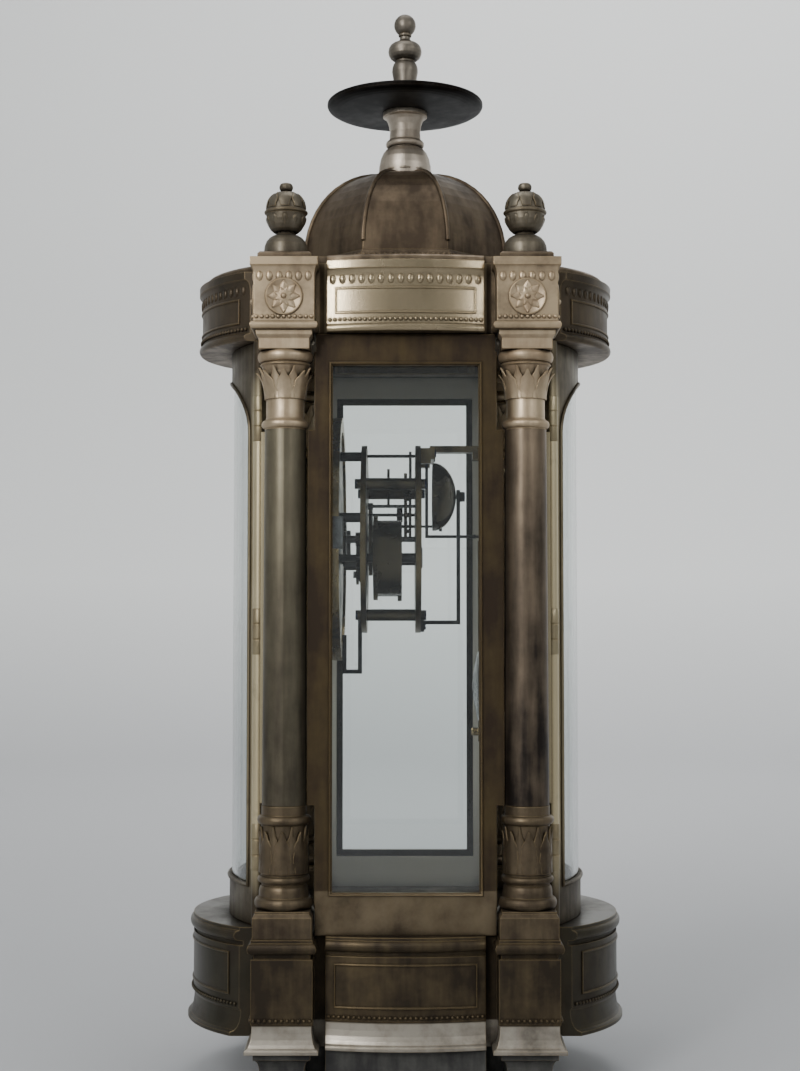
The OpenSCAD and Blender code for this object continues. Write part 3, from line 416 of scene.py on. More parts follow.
@dataclass(frozen=True)
class VitreousEnamel(Finish):
    """White enamel fired on copper: a glassy cream skin with slow waves and a breath of age."""

    name: str = "fired_enamel"
    colour: str = "#f2ece0"
    shade: str = "#e4dac6"
    shade_mm: float = 35.0
    wave_mm: float = 9.0
    wave_depth_mm: float = 0.03

    def surface(self, tree: Tree, place: Socket) -> dict[str, Any]:
        """Add the enamel's nodes.

        Args:
            tree: The material's tree.
            place: The point's place on the object.

        Returns:
            The shader's inputs.
        """
        age = add_node(tree, "ShaderNodeTexNoise", {
            "Vector": place, "Scale": per_metre(self.shade_mm), "Detail": 3.0}).outputs["Fac"]
        toned = add_node(tree, "ShaderNodeMapRange", {
            "Value": age, "From Min": 0.4, "From Max": 0.7}).outputs[0]
        colour = add_node(tree, "ShaderNodeMix", {
            0: toned, 6: linear(self.colour), 7: linear(self.shade)},
            data_type="RGBA").outputs[2]
        wave = add_node(tree, "ShaderNodeTexNoise", {
            "Vector": place, "Scale": per_metre(self.wave_mm)}).outputs["Fac"]
        bump = add_node(tree, "ShaderNodeBump", {
            "Height": wave, "Distance": self.wave_depth_mm * MM}).outputs[0]
        return {"Base Color": colour, "Roughness": 0.12, "IOR": 1.52, "Normal": bump}


@dataclass(frozen=True)
class PlateGlass(Finish):
    """Old polished plate: almost clear, a little green in its depth, and gently uneven."""

    name: str = "polished_plate_glass"
    tint: str = "#f6faf9"
    wave_mm: float = 60.0
    wave_depth_mm: float = 0.012

    def surface(self, tree: Tree, place: Socket) -> dict[str, Any]:
        """Add the glass's nodes.

        Args:
            tree: The material's tree.
            place: The point's place on the object.

        Returns:
            The shader's inputs.
        """
        wave = add_node(tree, "ShaderNodeTexNoise", {
            "Vector": place, "Scale": per_metre(self.wave_mm)}).outputs["Fac"]
        bump = add_node(tree, "ShaderNodeBump", {
            "Height": wave, "Distance": self.wave_depth_mm * MM}).outputs[0]
        return {"Base Color": linear(self.tint), "Roughness": 0.0, "IOR": 1.5,
                "Transmission Weight": 1.0, "Normal": bump}


@dataclass(frozen=True)
class FiredPaint(Finish):
    """Black enamel paint fired into the dial: dense, a little raised, with a soft gloss."""

    name: str = "fired_black_paint"
    colour: str = "#15151a"
    thin: str = "#2c2b30"
    wash_mm: float = 2.5

    def surface(self, tree: Tree, place: Socket) -> dict[str, Any]:
        """Add the paint's nodes.

        Args:
            tree: The material's tree.
            place: The point's place on the object.

        Returns:
            The shader's inputs.
        """
        wash = add_node(tree, "ShaderNodeTexNoise", {
            "Vector": place, "Scale": per_metre(self.wash_mm), "Detail": 3.0}).outputs["Fac"]
        worn = add_node(tree, "ShaderNodeMapRange", {
            "Value": wash, "From Min": 0.5, "From Max": 0.75}).outputs[0]
        colour = add_node(tree, "ShaderNodeMix", {
            0: worn, 6: linear(self.colour), 7: linear(self.thin)}, data_type="RGBA").outputs[2]
        rough = add_node(tree, "ShaderNodeMapRange", {
            "Value": worn, "To Min": 0.25, "To Max": 0.45}).outputs[0]
        return {"Base Color": colour, "Roughness": rough}


@dataclass(frozen=True)
class MattWall(Finish):
    """Painted studio sweep: flat, pale, deeper on the floor, and rolled on a little unevenly."""

    name: str = "pale_studio_paint"
    wall: str = "#dcdddc"
    floor: str = "#b3b4b6"
    wall_from_mm: float = 300.0
    rolled_mm: float = 900.0
    uneven: float = 0.12

    def surface(self, tree: Tree, place: Socket) -> dict[str, Any]:
        """Add the paint's nodes.

        Args:
            tree: The material's tree.
            place: The point's place on the object.

        Returns:
            The shader's inputs.
        """
        height = add_node(tree, "ShaderNodeSeparateXYZ", {0: place}).outputs["Z"]
        rise = add_node(tree, "ShaderNodeMapRange", {
            "Value": height, "From Max": self.wall_from_mm * MM}).outputs[0]
        rolled = add_node(tree, "ShaderNodeTexNoise", {
            "Vector": place, "Scale": per_metre(self.rolled_mm)}).outputs["Fac"]
        share = add_node(tree, "ShaderNodeMath", {0: rolled, 1: self.uneven, 2: rise},
                         operation="MULTIPLY_ADD", use_clamp=True).outputs[0]
        colour = add_node(tree, "ShaderNodeMix", {
            0: share, 6: linear(self.floor), 7: linear(self.wall)}, data_type="RGBA").outputs[2]
        return {"Base Color": colour, "Roughness": 0.9}


def turned_brass(name: str, x: float, z: float, core: float) -> MachinedMetal:
    """Return the finish of a brass wheel on its steel arbor, with tool marks round the arbor.

    Args:
        name: The material's name.
        x: The arbor's place across from the dial's centre, in millimetres.
        z: Its place up from there.
        core: The radius inside which the piece is steel.

    Returns:
        The finish.
    """
    # The wheel brass is aged, and darkened further as painted shade inside the case
    return MachinedMetal(name, metal="#4e4637", tarnish="#28251f", axis=(x, DIAL_Z + z),
                         core="#5d5f62", core_radius=core)


# The clock's own finishes. What is hidden from hands stays dark, and what is rubbed goes pale.

# Cast bronze that stands on the mantelpiece: nearly black, with a dull grey bloom
DARK_CAST = AgedMetal("black_bronze_feet", metal="#706f6a", film="#3f3e3d", film_cover=0.7,
                      rough=0.4)
# Cast bronze under a deep brown patina that also stands for painted shade low on the case, with
# painted shade darkening the bows' wings and a painted highlight on the moulding at its foot
PLINTH_CAST = AgedMetal("dark_cast_bronze", metal="#665944", film="#31291f", film_cover=0.7,
                        rough=0.36, zones=(
                            Zone("#3d392f", low=(0, 37, 24), high=(51.6, FAR, 74)),
                            Zone("#b0a89b", low=(53, 0, 24), high=(FAR, FAR, 37.6))))
# Cast bronze of a warmer brown, for the carved rings and leaves at the columns' feet
BASE_CAST = AgedMetal("brown_cast_bronze", metal="#786a55", film="#3e3428", film_cover=0.6)
# Drawn brass tube, greyed, with long soft streaks where cloths have run up and down it, and a film
# thickened towards its foot as painted shade
COLUMN_BRASS = AgedMetal("rubbed_column_brass", metal="#928a74", film="#3d372d", film_cover=0.3,
                         film_edge=0.34, rough=0.3, streak=0.5, painted_low_shade=0.34)
# The same tube at the back of the clock, a little redder, under a darker film that is painted
# shade, thickest towards its foot
SHADED_COLUMN_BRASS = AgedMetal("shaded_column_brass", metal="#a08e78", film="#201a16",
                              film_cover=0.25, film_edge=0.34, rough=0.3, streak=0.5,
                              painted_low_shade=0.4)
# Cast brass once gilt: a pale, warm, powdery gold with brown left in the carving
CAPITAL_BRASS = AgedMetal("worn_gilt_brass", metal="#c8b497", film="#907b62", film_cover=0.4,
                          rough=0.36)
# Cast bronze with wings darkened as painted shade, blocks paled as painted light, and side friezes
# polished until they mirror lights
CORNICE_CAST = AgedMetal("cornice_bronze", metal="#8c7c64", film="#524536", film_cover=0.6,
                         zones=(
                             Zone("#463e33", low=(0, 37, 331), high=(51.6, FAR, 363)),
                             Zone("#c5af90", low=(53, 37, 331), high=(FAR, FAR, 363)),
                             Zone("#a09176", low=(53, 0, 331), high=(FAR, 35.5, 363),
                                  cover=0.95, rough=0.23)))
# Rolled brass sheet gone an even tan
ROOF_BRASS = AgedMetal("roof_brass", metal="#8a7a66", film="#4e4234", film_cover=0.6)
# Sheet brass raised to eight sides, with dark clouds between its ribs
DOME_BRASS = AgedMetal("dome_brass", metal="#7b6b57", film="#45392c", film_cover=0.62)
# Turned brass under the smoke cap, painted almost silver as painted light that lifts the cap's
# shadow
STEM_BRASS = AgedMetal("stem_brass", metal="#c8bcac", film="#948879", film_cover=0.45)
# Spun bronze painted near black as painted shade for its unlit underside, brown only on its very
# rim
SHADE_BLACK_CAP = AgedMetal("shade_black_cap_bronze", metal="#17120e", film="#0a0807", rubbed="#5a4c3c",
                       film_cover=0.6, rough=0.42, wear=0.3)
# Turned brass above the cap: grey-brown with light on its beads
SPINDLE_BRASS = AgedMetal("spindle_brass", metal="#8f877b", film="#5f584e", film_cover=0.45)
# Cast brass in small lobes: olive grey, with bright ridges and dirty grooves
URN_BRASS = AgedMetal("urn_brass", metal="#8b8373", film="#544c3f", film_cover=0.55)
# Cast bronze: dark outer faces, partly patina and partly painted shade; a sill painted paler as
# light falling from above; and inner strips painted pale as painted light
SIDE_FRAME = AgedMetal("side_frame_bronze", metal="#5a4d38", film="#34291e", film_cover=0.6,
                       zones=(
                           Zone("#7b6d57", low=(0, 0, 60), high=(FAR, FAR, 92)),
                           Zone("#e4dfd2", low=(0, 0, 60), high=(68.5, FAR, 345), cover=1.1)))
# Rolled brass: dark heads and sills, and upright bars painted pale as painted light, fading softly
# at the top into the shade under the roof
DOOR_BRASS = AgedMetal("door_brass", metal="#6f6653", film="#42392c", film_cover=0.6,
                       zones=(Zone("#cdbf9c", low=(43.0, 0, 86), high=(FAR, FAR, 318),
                                   soft=(3.0, 1.0, 24.0), cover=0.95),))
# Turned brass that fingers keep clean: light, smooth and glossy
KNOB_BRASS = AgedMetal("handled_brass", metal="#b9ad8d", film="#8a7d63", film_cover=0.35,
                       rough=0.26)
# Turned and lacquered brass, still yellow, with a clear shine
BEZEL_BRASS = MachinedMetal("turned_bezel_brass", metal="#a8946a", tarnish="#6f6044", rough=0.24)
# Hard rolled brass, stoned along its grain: brown-gold and softly brushed, darkened as painted
# shade for the movement inside the case
PLATE_BRASS = MachinedMetal("plate_brass", metal="#6f6146", tarnish="#3d3524", rough=0.3)
# Turned brass inside the movement, dulled by oil and darkened further as painted shade
PILLAR_BRASS = MachinedMetal("dark_pillar_brass", metal="#4b4436", tarnish="#25221e", rough=0.3)
# Drawn brass rod, tarnished in long clouds
ROD_BRASS = MachinedMetal("pendulum_brass", metal="#7b7058", tarnish="#4b4334", rough=0.28)
# Turned steel disc: cool grey, with rings that catch the light
BOB_STEEL = MachinedMetal("turned_bob_steel", metal="#8b8b89", tarnish="#5c5b58", rough=0.26,
                          axis=(0.0, 176.25))
# Filed steel under old oil: a cool middle grey
GREY_STEEL = MachinedMetal("grey_steel", metal="#85878a", tarnish="#575654", rough=0.3)
# Hardened and tempered steel: almost black, with a low shine
DARK_STEEL = MachinedMetal("darkened_steel", metal="#2d2f33", tarnish="#18191a", rough=0.34)
# Polished steel heated until it turned blue: a deep, glossy ink
BLUED_STEEL = MachinedMetal("blued_steel", metal="#2a3350", tarnish="#1c2033", rough=0.2)
FIRED_ENAMEL = VitreousEnamel()
FIRED_BLACK = FiredPaint()
CLEAR_PANE = PlateGlass()


# ---------------------------------------------------------------- shapes, drawn in millimetres


@dataclass(frozen=True)
class Spot:
    """One point of a path or a pattern, with the ways that a shape's +Z and +X point there."""

    at: Point
    facing: Point = (0.0, 0.0, 1.0)
    along: Point = (1.0, 0.0, 0.0)


Paths = Sequence[Sequence[Spot]]


def turned(profile: Sequence[tuple[float, float]], steps: int = 32, ring: bool = False) -> Shape:
    """Turn a profile about the Z axis.

    Args:
        profile: Pairs of radius and height. A radius of 0 closes the shape on the axis.
        steps: Faces round the axis.
        ring: Whether the profile's last point joins its first.

    Returns:
        The shape.
    """
    bm = bmesh.new()
    round_it = [(math.cos(math.tau * i / steps), math.sin(math.tau * i / steps))
                for i in range(steps)]
    rows = []
    for radius, height in profile:
        if radius == 0:
            rows.append([bm.verts.new((0, 0, height))] * steps)
        else:
            rows.append([bm.verts.new((radius * x, radius * y, height)) for x, y in round_it])
    pairs = list(zip(rows, rows[1:])) + ([(rows[-1], rows[0])] if ring else [])
    for low, high in pairs:
        for i in range(steps):
            j = (i + 1) % steps
            corners = list(dict.fromkeys((low[i], low[j], high[j], high[i])))
            if len(corners) > 2:
                bm.faces.new(corners)
    return bm


def sheet(rows: Sequence[Sequence[Point]], back: Sequence[Sequence[Point]]) -> Shape:
    """Close a front and a back grid of points into one solid.

    Args:
        rows: The front's rows of points.
        back: The back's rows, in the same order.

    Returns:
        The shape.
    """
    bm = bmesh.new()
    fronts = [[bm.verts.new(p) for p in row] for row in rows]
    backs = [[bm.verts.new(p) for p in row] for row in back]
    across = len(rows[0]) - 1
    for grid in (fronts, backs):
        for low, high in zip(grid, grid[1:]):
            for i in range(across):
                bm.faces.new((low[i], low[i + 1], high[i + 1], high[i]))
    for a in range(len(rows) - 1):
        for i in (0, across):
            bm.faces.new((fronts[a][i], fronts[a + 1][i], backs[a + 1][i], backs[a][i]))
    for a in (0, len(rows) - 1):
        for i in range(across):
            bm.faces.new((fronts[a][i], fronts[a][i + 1], backs[a][i + 1], backs[a][i]))
    return bm


def leaf(height: float, half_width: float, bell: Callable[[float], float], curl: float,
         thick: float = 0.9, lobes: int = 3, lying: bool = False) -> Shape:
    """Model a chased leaf on a round body: +Z is its tip, and +X points away from the body.

    Args:
        height: From root to tip.
        half_width: Half the width at its broadest.
        bell: Distance of the body's face from the leaf's origin, for a share of the height.
        curl: How far the tip bends away from the body.
        thick: How far the rib stands off the body.
        lobes: Scallops down each edge.
        lying: Whether the leaf lies down as a petal, with its tip along +X and its face up +Z.

    Returns:
        The shape.
    """
    across, up = 6, 10
    tip_from, curl_from = 0.6, 0.55
    rows, back = [], []
    for j in range(up + 1):
        v = j / up
        tip = max(0.0, (v - tip_from) / (1 - tip_from))
        # Fuller halfway up, drawn in to a blunt tip, and scalloped down both edges
        width = half_width * (0.66 + 0.34 * math.sin(math.pi * min(1.0, v * 1.25)))
        width *= (1 - 0.86 * tip ** 1.5) * (1 + 0.09 * math.cos(math.tau * lobes * v))
        lift = curl * max(0.0, (v - curl_from) / (1 - curl_from)) ** 2
        row, under = [], []
        for i in range(across + 1):
            u = 2 * i / across - 1
            # A rib down the middle, thinner towards the tip, with a vein to each scallop
            body = thick * (0.35 + 0.65 * (1 - abs(u)) ** 0.7) * (1 - 0.45 * tip)
            vein = 0.14 * thick * math.cos(math.tau * (lobes * v + 0.8 * abs(u))) * abs(u)
            row.append((bell(v) + lift + body + vein, u * width, v * height - 0.35 * lift))
            under.append((bell(v) + lift * 0.75 - 0.2, u * width, v * height - 0.35 * lift))
        rows.append(row)
        back.append(under)
    if lying:
        rows, back = ([[(z, y, x) for x, y, z in row] for row in grid]
                      for grid in (rows, back))
    return sheet(rows, back)


def slotted_screw(radius: float, height: float) -> Shape:
    """Model a cheese-head screw with its slot along X and its seat at Z = 0.

    Args:
        radius: The head's radius.
        height: The head's height.

    Returns:
        The shape.
    """
    slot, chamfer, steps = radius * 0.16, height * 0.2, 10
    core, slot_floor = radius * 0.98, height * 0.45
    bm = turned([(0, 0), (core, 0), (core, slot_floor), (0, slot_floor)], 20)
    start = math.asin(slot / radius)
    angles = [start + (math.pi - 2 * start) * i / steps for i in range(steps + 1)]
    for side in (-1, 1):
        rims = []
        for r, z in ((radius, 0.0), (radius, height - chamfer), (radius - chamfer, height)):
            rims.append([bm.verts.new((r * math.cos(t), side * max(slot, r * math.sin(t)), z))
                         for t in angles])
        for low, high in zip(rims, rims[1:]):
            for i in range(steps + 1):
                j = (i + 1) % (steps + 1)
                bm.faces.new((low[i], low[j], high[j], high[i]))
        bm.faces.new(rims[0])
        bm.faces.new(rims[-1])
    return bm


def bead(radius: float, stretch: Point = (1, 1, 1), segments: int = 8, rings: int = 5) -> Shape:
    """Model a ball, or an egg when it is stretched.

    Args:
        radius: The ball's radius.
        stretch: How much longer it is along each axis.
        segments: Faces round it.
        rings: Faces from pole to pole.

    Returns:
        The shape.
    """
    bm = bmesh.new()
    bmesh.ops.create_uvsphere(bm, u_segments=segments, v_segments=rings, radius=radius)
    bmesh.ops.scale(bm, vec=stretch, verts=bm.verts)
    return bm


def as_mesh(name: str, bm: Shape) -> bpy.types.Mesh:
    """Turn a shape into a mesh in metres, with its faces outwards and smooth.

    Args:
        name: The mesh's name.
        bm: The shape, in millimetres. It is freed.

    Returns:
        The mesh.
    """
    bmesh.ops.recalc_face_normals(bm, faces=bm.faces)
    for face in bm.faces:
        face.smooth = True
    bmesh.ops.scale(bm, vec=(MM, MM, MM), verts=bm.verts)
    mesh = bpy.data.meshes.new(name)
    bm.to_mesh(mesh)
    bm.free()
    return mesh


def host_mesh(paths: Paths, closed: bool = False) -> bpy.types.Mesh:
    """Make the mesh of points and edges that a geometry tree starts from.

    Args:
        paths: Runs of spots. A path of one spot is a lone point.
        closed: Whether each path's end joins its start.

    Returns:
        The mesh, with each spot's facing and along on its points.
    """
    spots = [spot for path in paths for spot in path]
    edges, first = [], 0
    for path in paths:
        edges += [(first + i, first + i + 1) for i in range(len(path) - 1)]
        if closed:
            edges.append((first + len(path) - 1, first))
        first += len(path)
    mesh = bpy.data.meshes.new("host")
    mesh.from_pydata([Vector(spot.at) * MM for spot in spots], edges, [])
    for label in ("facing", "along"):
        values = mesh.attributes.new(label, "FLOAT_VECTOR", "POINT").data
        for value, spot in zip(values, spots):
            value.vector = getattr(spot, label)
    return mesh


def arc(centre: tuple[float, float], radius: float, start: float, end: float,
        z: float) -> list[Spot]:
    """Lay out an arc on an upright round face.

    Args:
        centre: The arc's centre, seen from above.
        radius: Its radius.
        start: Its first angle from +X, in degrees.
        end: Its last angle.
        z: Its height.

    Returns:
        Spots that face outwards.
    """
    steps = 24
    spots = []
    for i in range(steps + 1):
        t = math.radians(start + (end - start) * i / steps)
        out = (math.cos(t), math.sin(t), 0.0)
        at = (centre[0] + radius * out[0], centre[1] + radius * out[1], z)
        spots.append(Spot(at, out, (0, 0, 1)))
    return spots


# ---------------------------------------------------------------- geometry trees


class GeometryTree:
    """A geometry node tree with named inputs, which turns a host mesh into a finished one."""

    def __init__(self, name: str, inputs: Sequence[tuple[str, str]]) -> None:
        """Start the tree.

        Args:
            name: The tree's name.
            inputs: The name and the socket type of each input after the geometry.
        """
        self.tree = bpy.data.node_groups.new(name, "GeometryNodeTree")
        for label, kind in (("Geometry", "NodeSocketGeometry"), *inputs,
                            ("Finish", "NodeSocketMaterial")):
            self.tree.interface.new_socket(label, in_out="INPUT", socket_type=kind)
        self.tree.interface.new_socket("Geometry", in_out="OUTPUT",
                                       socket_type="NodeSocketGeometry")
        self.given = add_node(self.tree, "NodeGroupInput").outputs

    def turn_to(self, along: Socket) -> Socket:
        """Add the nodes that turn a shape's +Z to the spot's facing and its +X along a direction.

        Args:
            along: The direction for +X.

        Returns:
            The rotation.
        """
        facing = self.attribute("facing")
        up = add_node(self.tree, "FunctionNodeAlignRotationToVector", {"Vector": facing},
                      axis="Z").outputs[0]
        return add_node(self.tree, "FunctionNodeAlignRotationToVector", {
            "Rotation": up, "Vector": along}, axis="X", pivot_axis="Z").outputs[0]

    def attribute(self, name: str) -> Socket:
        """Return the output that reads a direction kept on the host's points."""
        return add_node(self.tree, "GeometryNodeInputNamedAttribute", {"Name": name},
                        data_type="FLOAT_VECTOR").outputs[0]

    def shape(self) -> Socket:
        """Return the output that gives the repeated shape."""
        info = add_node(self.tree, "GeometryNodeObjectInfo", {"Object": self.given["Shape"]})
        return info.outputs["Geometry"]

    def end(self, geometry: Socket) -> None:
        """Close the tree: instances made real, the finish set, and the result given out.

        Args:
            geometry: The output that holds the result.
        """
        real = add_node(self.tree, "GeometryNodeRealizeInstances", {0: geometry}).outputs[0]
        dressed = add_node(self.tree, "GeometryNodeSetMaterial", {
            0: real, 2: self.given["Finish"]}).outputs[0]
        add_node(self.tree, "NodeGroupOutput", {0: dressed})

    def run(self, host: bpy.types.Mesh, shape: bpy.types.Mesh | None = None,
            **values: Any) -> bpy.types.Mesh:
        """Run the tree on a host mesh.

        Args:
            host: The points and edges to start from.
            shape: The mesh that is repeated.
            **values: The other inputs, by name.

        Returns:
            The result, as a plain mesh.
        """
        holder = bpy.data.objects.new("host", host)
        bpy.context.collection.objects.link(holder)
        modifier = holder.modifiers.new("rule", "NODES")
        modifier.node_group = self.tree
        sample = bpy.data.objects.new("shape", shape) if shape else None
        if sample:
            bpy.context.collection.objects.link(sample)
            values["Shape"] = sample
        for item in self.tree.interface.items_tree:
            if item.in_out == "INPUT" and item.name in values:
                modifier[item.identifier] = values[item.name]
        bpy.context.view_layer.update()
        made = holder.evaluated_get(bpy.context.evaluated_depsgraph_get())
        mesh = bpy.data.meshes.new_from_object(made)
        holder.modifiers.remove(modifier)
        for spent in (holder, sample):
            if spent:
                bpy.data.objects.remove(spent)
        for label in ("facing", "along"):
            if label in mesh.attributes:
                mesh.attributes.remove(mesh.attributes[label])
        return mesh


class RingTree(GeometryTree):
    """A ring of one shape about the axis of each host point: leaves, petals, gadroons, screws."""

    def __init__(self) -> None:
        """Build the tree. Its sizes are the ring's count, radius, first angle and unevenness."""
        super().__init__("ring_about_points", [
            ("Shape", "NodeSocketObject"), ("Count", "NodeSocketInt"),
            ("Radius", "NodeSocketFloat"), ("Turn", "NodeSocketFloat"),
            ("Uneven", "NodeSocketFloat"), ("Seed", "NodeSocketInt")])
        tree, given = self.tree, self.given
        index = add_node(tree, "GeometryNodeInputIndex").outputs[0]
        share = add_node(tree, "ShaderNodeMath", {0: index, 1: given["Count"]},
                         operation="DIVIDE").outputs[0]
        angle = add_node(tree, "ShaderNodeMath", {0: share, 1: math.tau, 2: given["Turn"]},
                         operation="MULTIPLY_ADD").outputs[0]
        spin = add_node(tree, "ShaderNodeCombineXYZ", {"Z": angle}).outputs[0]
        turn = add_node(tree, "FunctionNodeEulerToRotation", {0: spin}).outputs[0]
        reach = add_node(tree, "ShaderNodeCombineXYZ", {"X": given["Radius"]}).outputs[0]
        at = add_node(tree, "FunctionNodeRotateVector", {
            "Vector": reach, "Rotation": turn}).outputs[0]
        points = add_node(tree, "GeometryNodePoints", {
            "Count": given["Count"], "Position": at}).outputs[0]
        least = add_node(tree, "ShaderNodeMath", {0: 1.0, 1: given["Uneven"]},
                         operation="SUBTRACT").outputs[0]
        size = add_node(tree, "FunctionNodeRandomValue", {
            2: least, 3: 1.0, "Seed": given["Seed"]}).outputs[1]
        ring = add_node(tree, "GeometryNodeInstanceOnPoints", {
            "Points": points, "Instance": self.shape(), "Rotation": turn,
            "Scale": size}).outputs[0]
        rings = add_node(tree, "GeometryNodeInstanceOnPoints", {
            "Points": given["Geometry"], "Instance": ring,
            "Rotation": self.turn_to(self.attribute("along"))}).outputs[0]
        self.end(rings)


class CourseTree(GeometryTree):
    """One shape again and again along each path: beads and leaf tips on the mouldings."""

    def __init__(self) -> None:
        """Build the tree. Its size is the spacing of the shapes."""
        super().__init__("course_along_paths", [
            ("Shape", "NodeSocketObject"), ("Spacing", "NodeSocketFloat")])
        tree, given = self.tree, self.given
        curve = add_node(tree, "GeometryNodeMeshToCurve", {0: given["Geometry"]}).outputs[0]
        even = add_node(tree, "GeometryNodeResampleCurve", {
            "Curve": curve, "Length": given["Spacing"]}, mode="LENGTH").outputs[0]
        tangent = add_node(tree, "GeometryNodeInputTangent").outputs[0]
        course = add_node(tree, "GeometryNodeInstanceOnPoints", {
            "Points": even, "Instance": self.shape(),
            "Rotation": self.turn_to(tangent)}).outputs[0]
        self.end(course)


class WireTree(GeometryTree):
    """A round wire swept along each path: framing fillets, door mouldings and the dome's ribs."""

    def __init__(self) -> None:
        """Build the tree. Its sizes are the wire's radius and its number of sides."""
        super().__init__("wire_along_paths", [
            ("Radius", "NodeSocketFloat"), ("Sides", "NodeSocketInt")])
        tree, given = self.tree, self.given
        curve = add_node(tree, "GeometryNodeMeshToCurve", {0: given["Geometry"]}).outputs[0]
        section = add_node(tree, "GeometryNodeCurvePrimitiveCircle", {
            "Resolution": given["Sides"], "Radius": given["Radius"]}).outputs[0]
        swept = add_node(tree, "GeometryNodeCurveToMesh", {
            "Curve": curve, "Profile Curve": section, "Fill Caps": True}).outputs[0]
        self.end(add_node(tree, "GeometryNodeSetShadeSmooth", {0: swept}).outputs[0])


# ---------------------------------------------------------------- studio


@dataclass(frozen=True)
class Lamp:
    """Square soft light: its place and the point it faces in metres, its side, and its watts."""

    name: str
    at: Point
    aim: Point
    size: float
    power: float

    def hang(self) -> None:
        """Hang the lamp in the scene."""
        light = bpy.data.lights.new(self.name, "AREA")
        light.size = self.size
        light.energy = self.power
        holder = bpy.data.objects.new(self.name, light)
        bpy.context.collection.objects.link(holder)
        holder.location = self.at
        way = Vector(self.aim) - Vector(self.at)
        holder.rotation_euler = way.to_track_quat("-Z", "Y").to_euler()


@dataclass
class Studio:
    """Pale sweep, soft lights, and the photograph's camera, which looks at the clock's side."""

    camera_at: Point = (0.800, -0.0024, 0.207)
    tilt_up: float = 2.85
    lens_mm: float = 57.1
    sensor_mm: float = 36.0
    clip_start: float = 0.01
    floor_radius: float = 1700.0
    wall_radius: float = 2500.0
    wall_height: float = 3000.0
    air: str = "#dfe4e8"
    air_strength: float = 0.55
    lamps: tuple[Lamp, ...] = (
        Lamp("window", (1.35, -0.95, 1.35), (0.0, 0.0, 0.3), 1.0, 15.0),
        Lamp("left_strip", (1.07, -0.56, 0.57), (0.0, 0.0, 0.34), 0.13, 3.6),
        Lamp("right_strip", (1.07, 0.58, 0.57), (0.0, 0.0, 0.34), 0.13, 0.8),
        Lamp("fill", (1.1, 1.3, 1.1), (0.0, 0.0, 0.32), 0.8, 4.0),
        Lamp("overhead", (-0.1, 0.0, 1.6), (0.0, 0.0, 0.0), 1.0, 5.0),
        Lamp("wall_wash", (-0.9, 0.3, 1.9), (-2.5, 0.5, 0.9), 0.9, 36.0))

    def build(self) -> None:
        """Make the sweep, the lights, the world and the camera."""
        self.sweep()
        for lamp in self.lamps:
            lamp.hang()
        world = bpy.data.worlds.new("studio_air")
        bpy.context.scene.world = world
        world.use_nodes = True
        set_inputs(world.node_tree, world.node_tree.nodes["Background"], {
            "Color": linear(self.air), "Strength": self.air_strength})
        self.camera()

    def sweep(self) -> None:
        """Make the floor and its curved rise into a round wall."""
        rise, quarter = self.wall_radius - self.floor_radius, 12
        profile = [(0.0, 0.0), (20.0, 0.0), (self.floor_radius, 0.0)]
        for i in range(1, quarter + 1):
            t = math.pi / 2 * i / quarter
            profile.append((self.floor_radius + rise * math.sin(t), rise * (1 - math.cos(t))))
        profile.append((self.wall_radius, self.wall_height))
        mesh = as_mesh("sweep", turned(profile, 96))
        mesh.materials.append(MattWall().material())
        sweep = bpy.data.objects.new("sweep", mesh)
        bpy.context.collection.objects.link(sweep)

    def camera(self) -> None:
        """Set the camera where the photograph was taken from."""
        lens = bpy.data.cameras.new("camera")
        lens.lens = self.lens_mm
        lens.sensor_width = self.sensor_mm
        lens.clip_start = self.clip_start
        holder = bpy.data.objects.new("camera", lens)
        bpy.context.collection.objects.link(holder)
        holder.location = self.camera_at
        holder.rotation_euler = (math.radians(90 + self.tilt_up), 0, math.radians(90))
        bpy.context.scene.camera = holder


# ---------------------------------------------------------------- workshop


class Slot(Enum):
    """Material slots of the record, which say what each piece is made of."""

    DARK_BRONZE = "dark_bronze"
    AGED_BRONZE = "aged_bronze"
    AGED_BRASS = "aged_brass"
    POLISHED_BRASS = "polished_brass"
    STEEL = "steel"
    ENAMEL = "enamel"


@dataclass(frozen=True)
class Make:
    """What a new piece is made of, a slot for it that is not used, and the body that it rides on.

    Its edges that are sharper than crease, in degrees, stay crisp.
    """

    finish: Finish
    slot: Slot
    body: str = "case"
    crease: float = 38.0


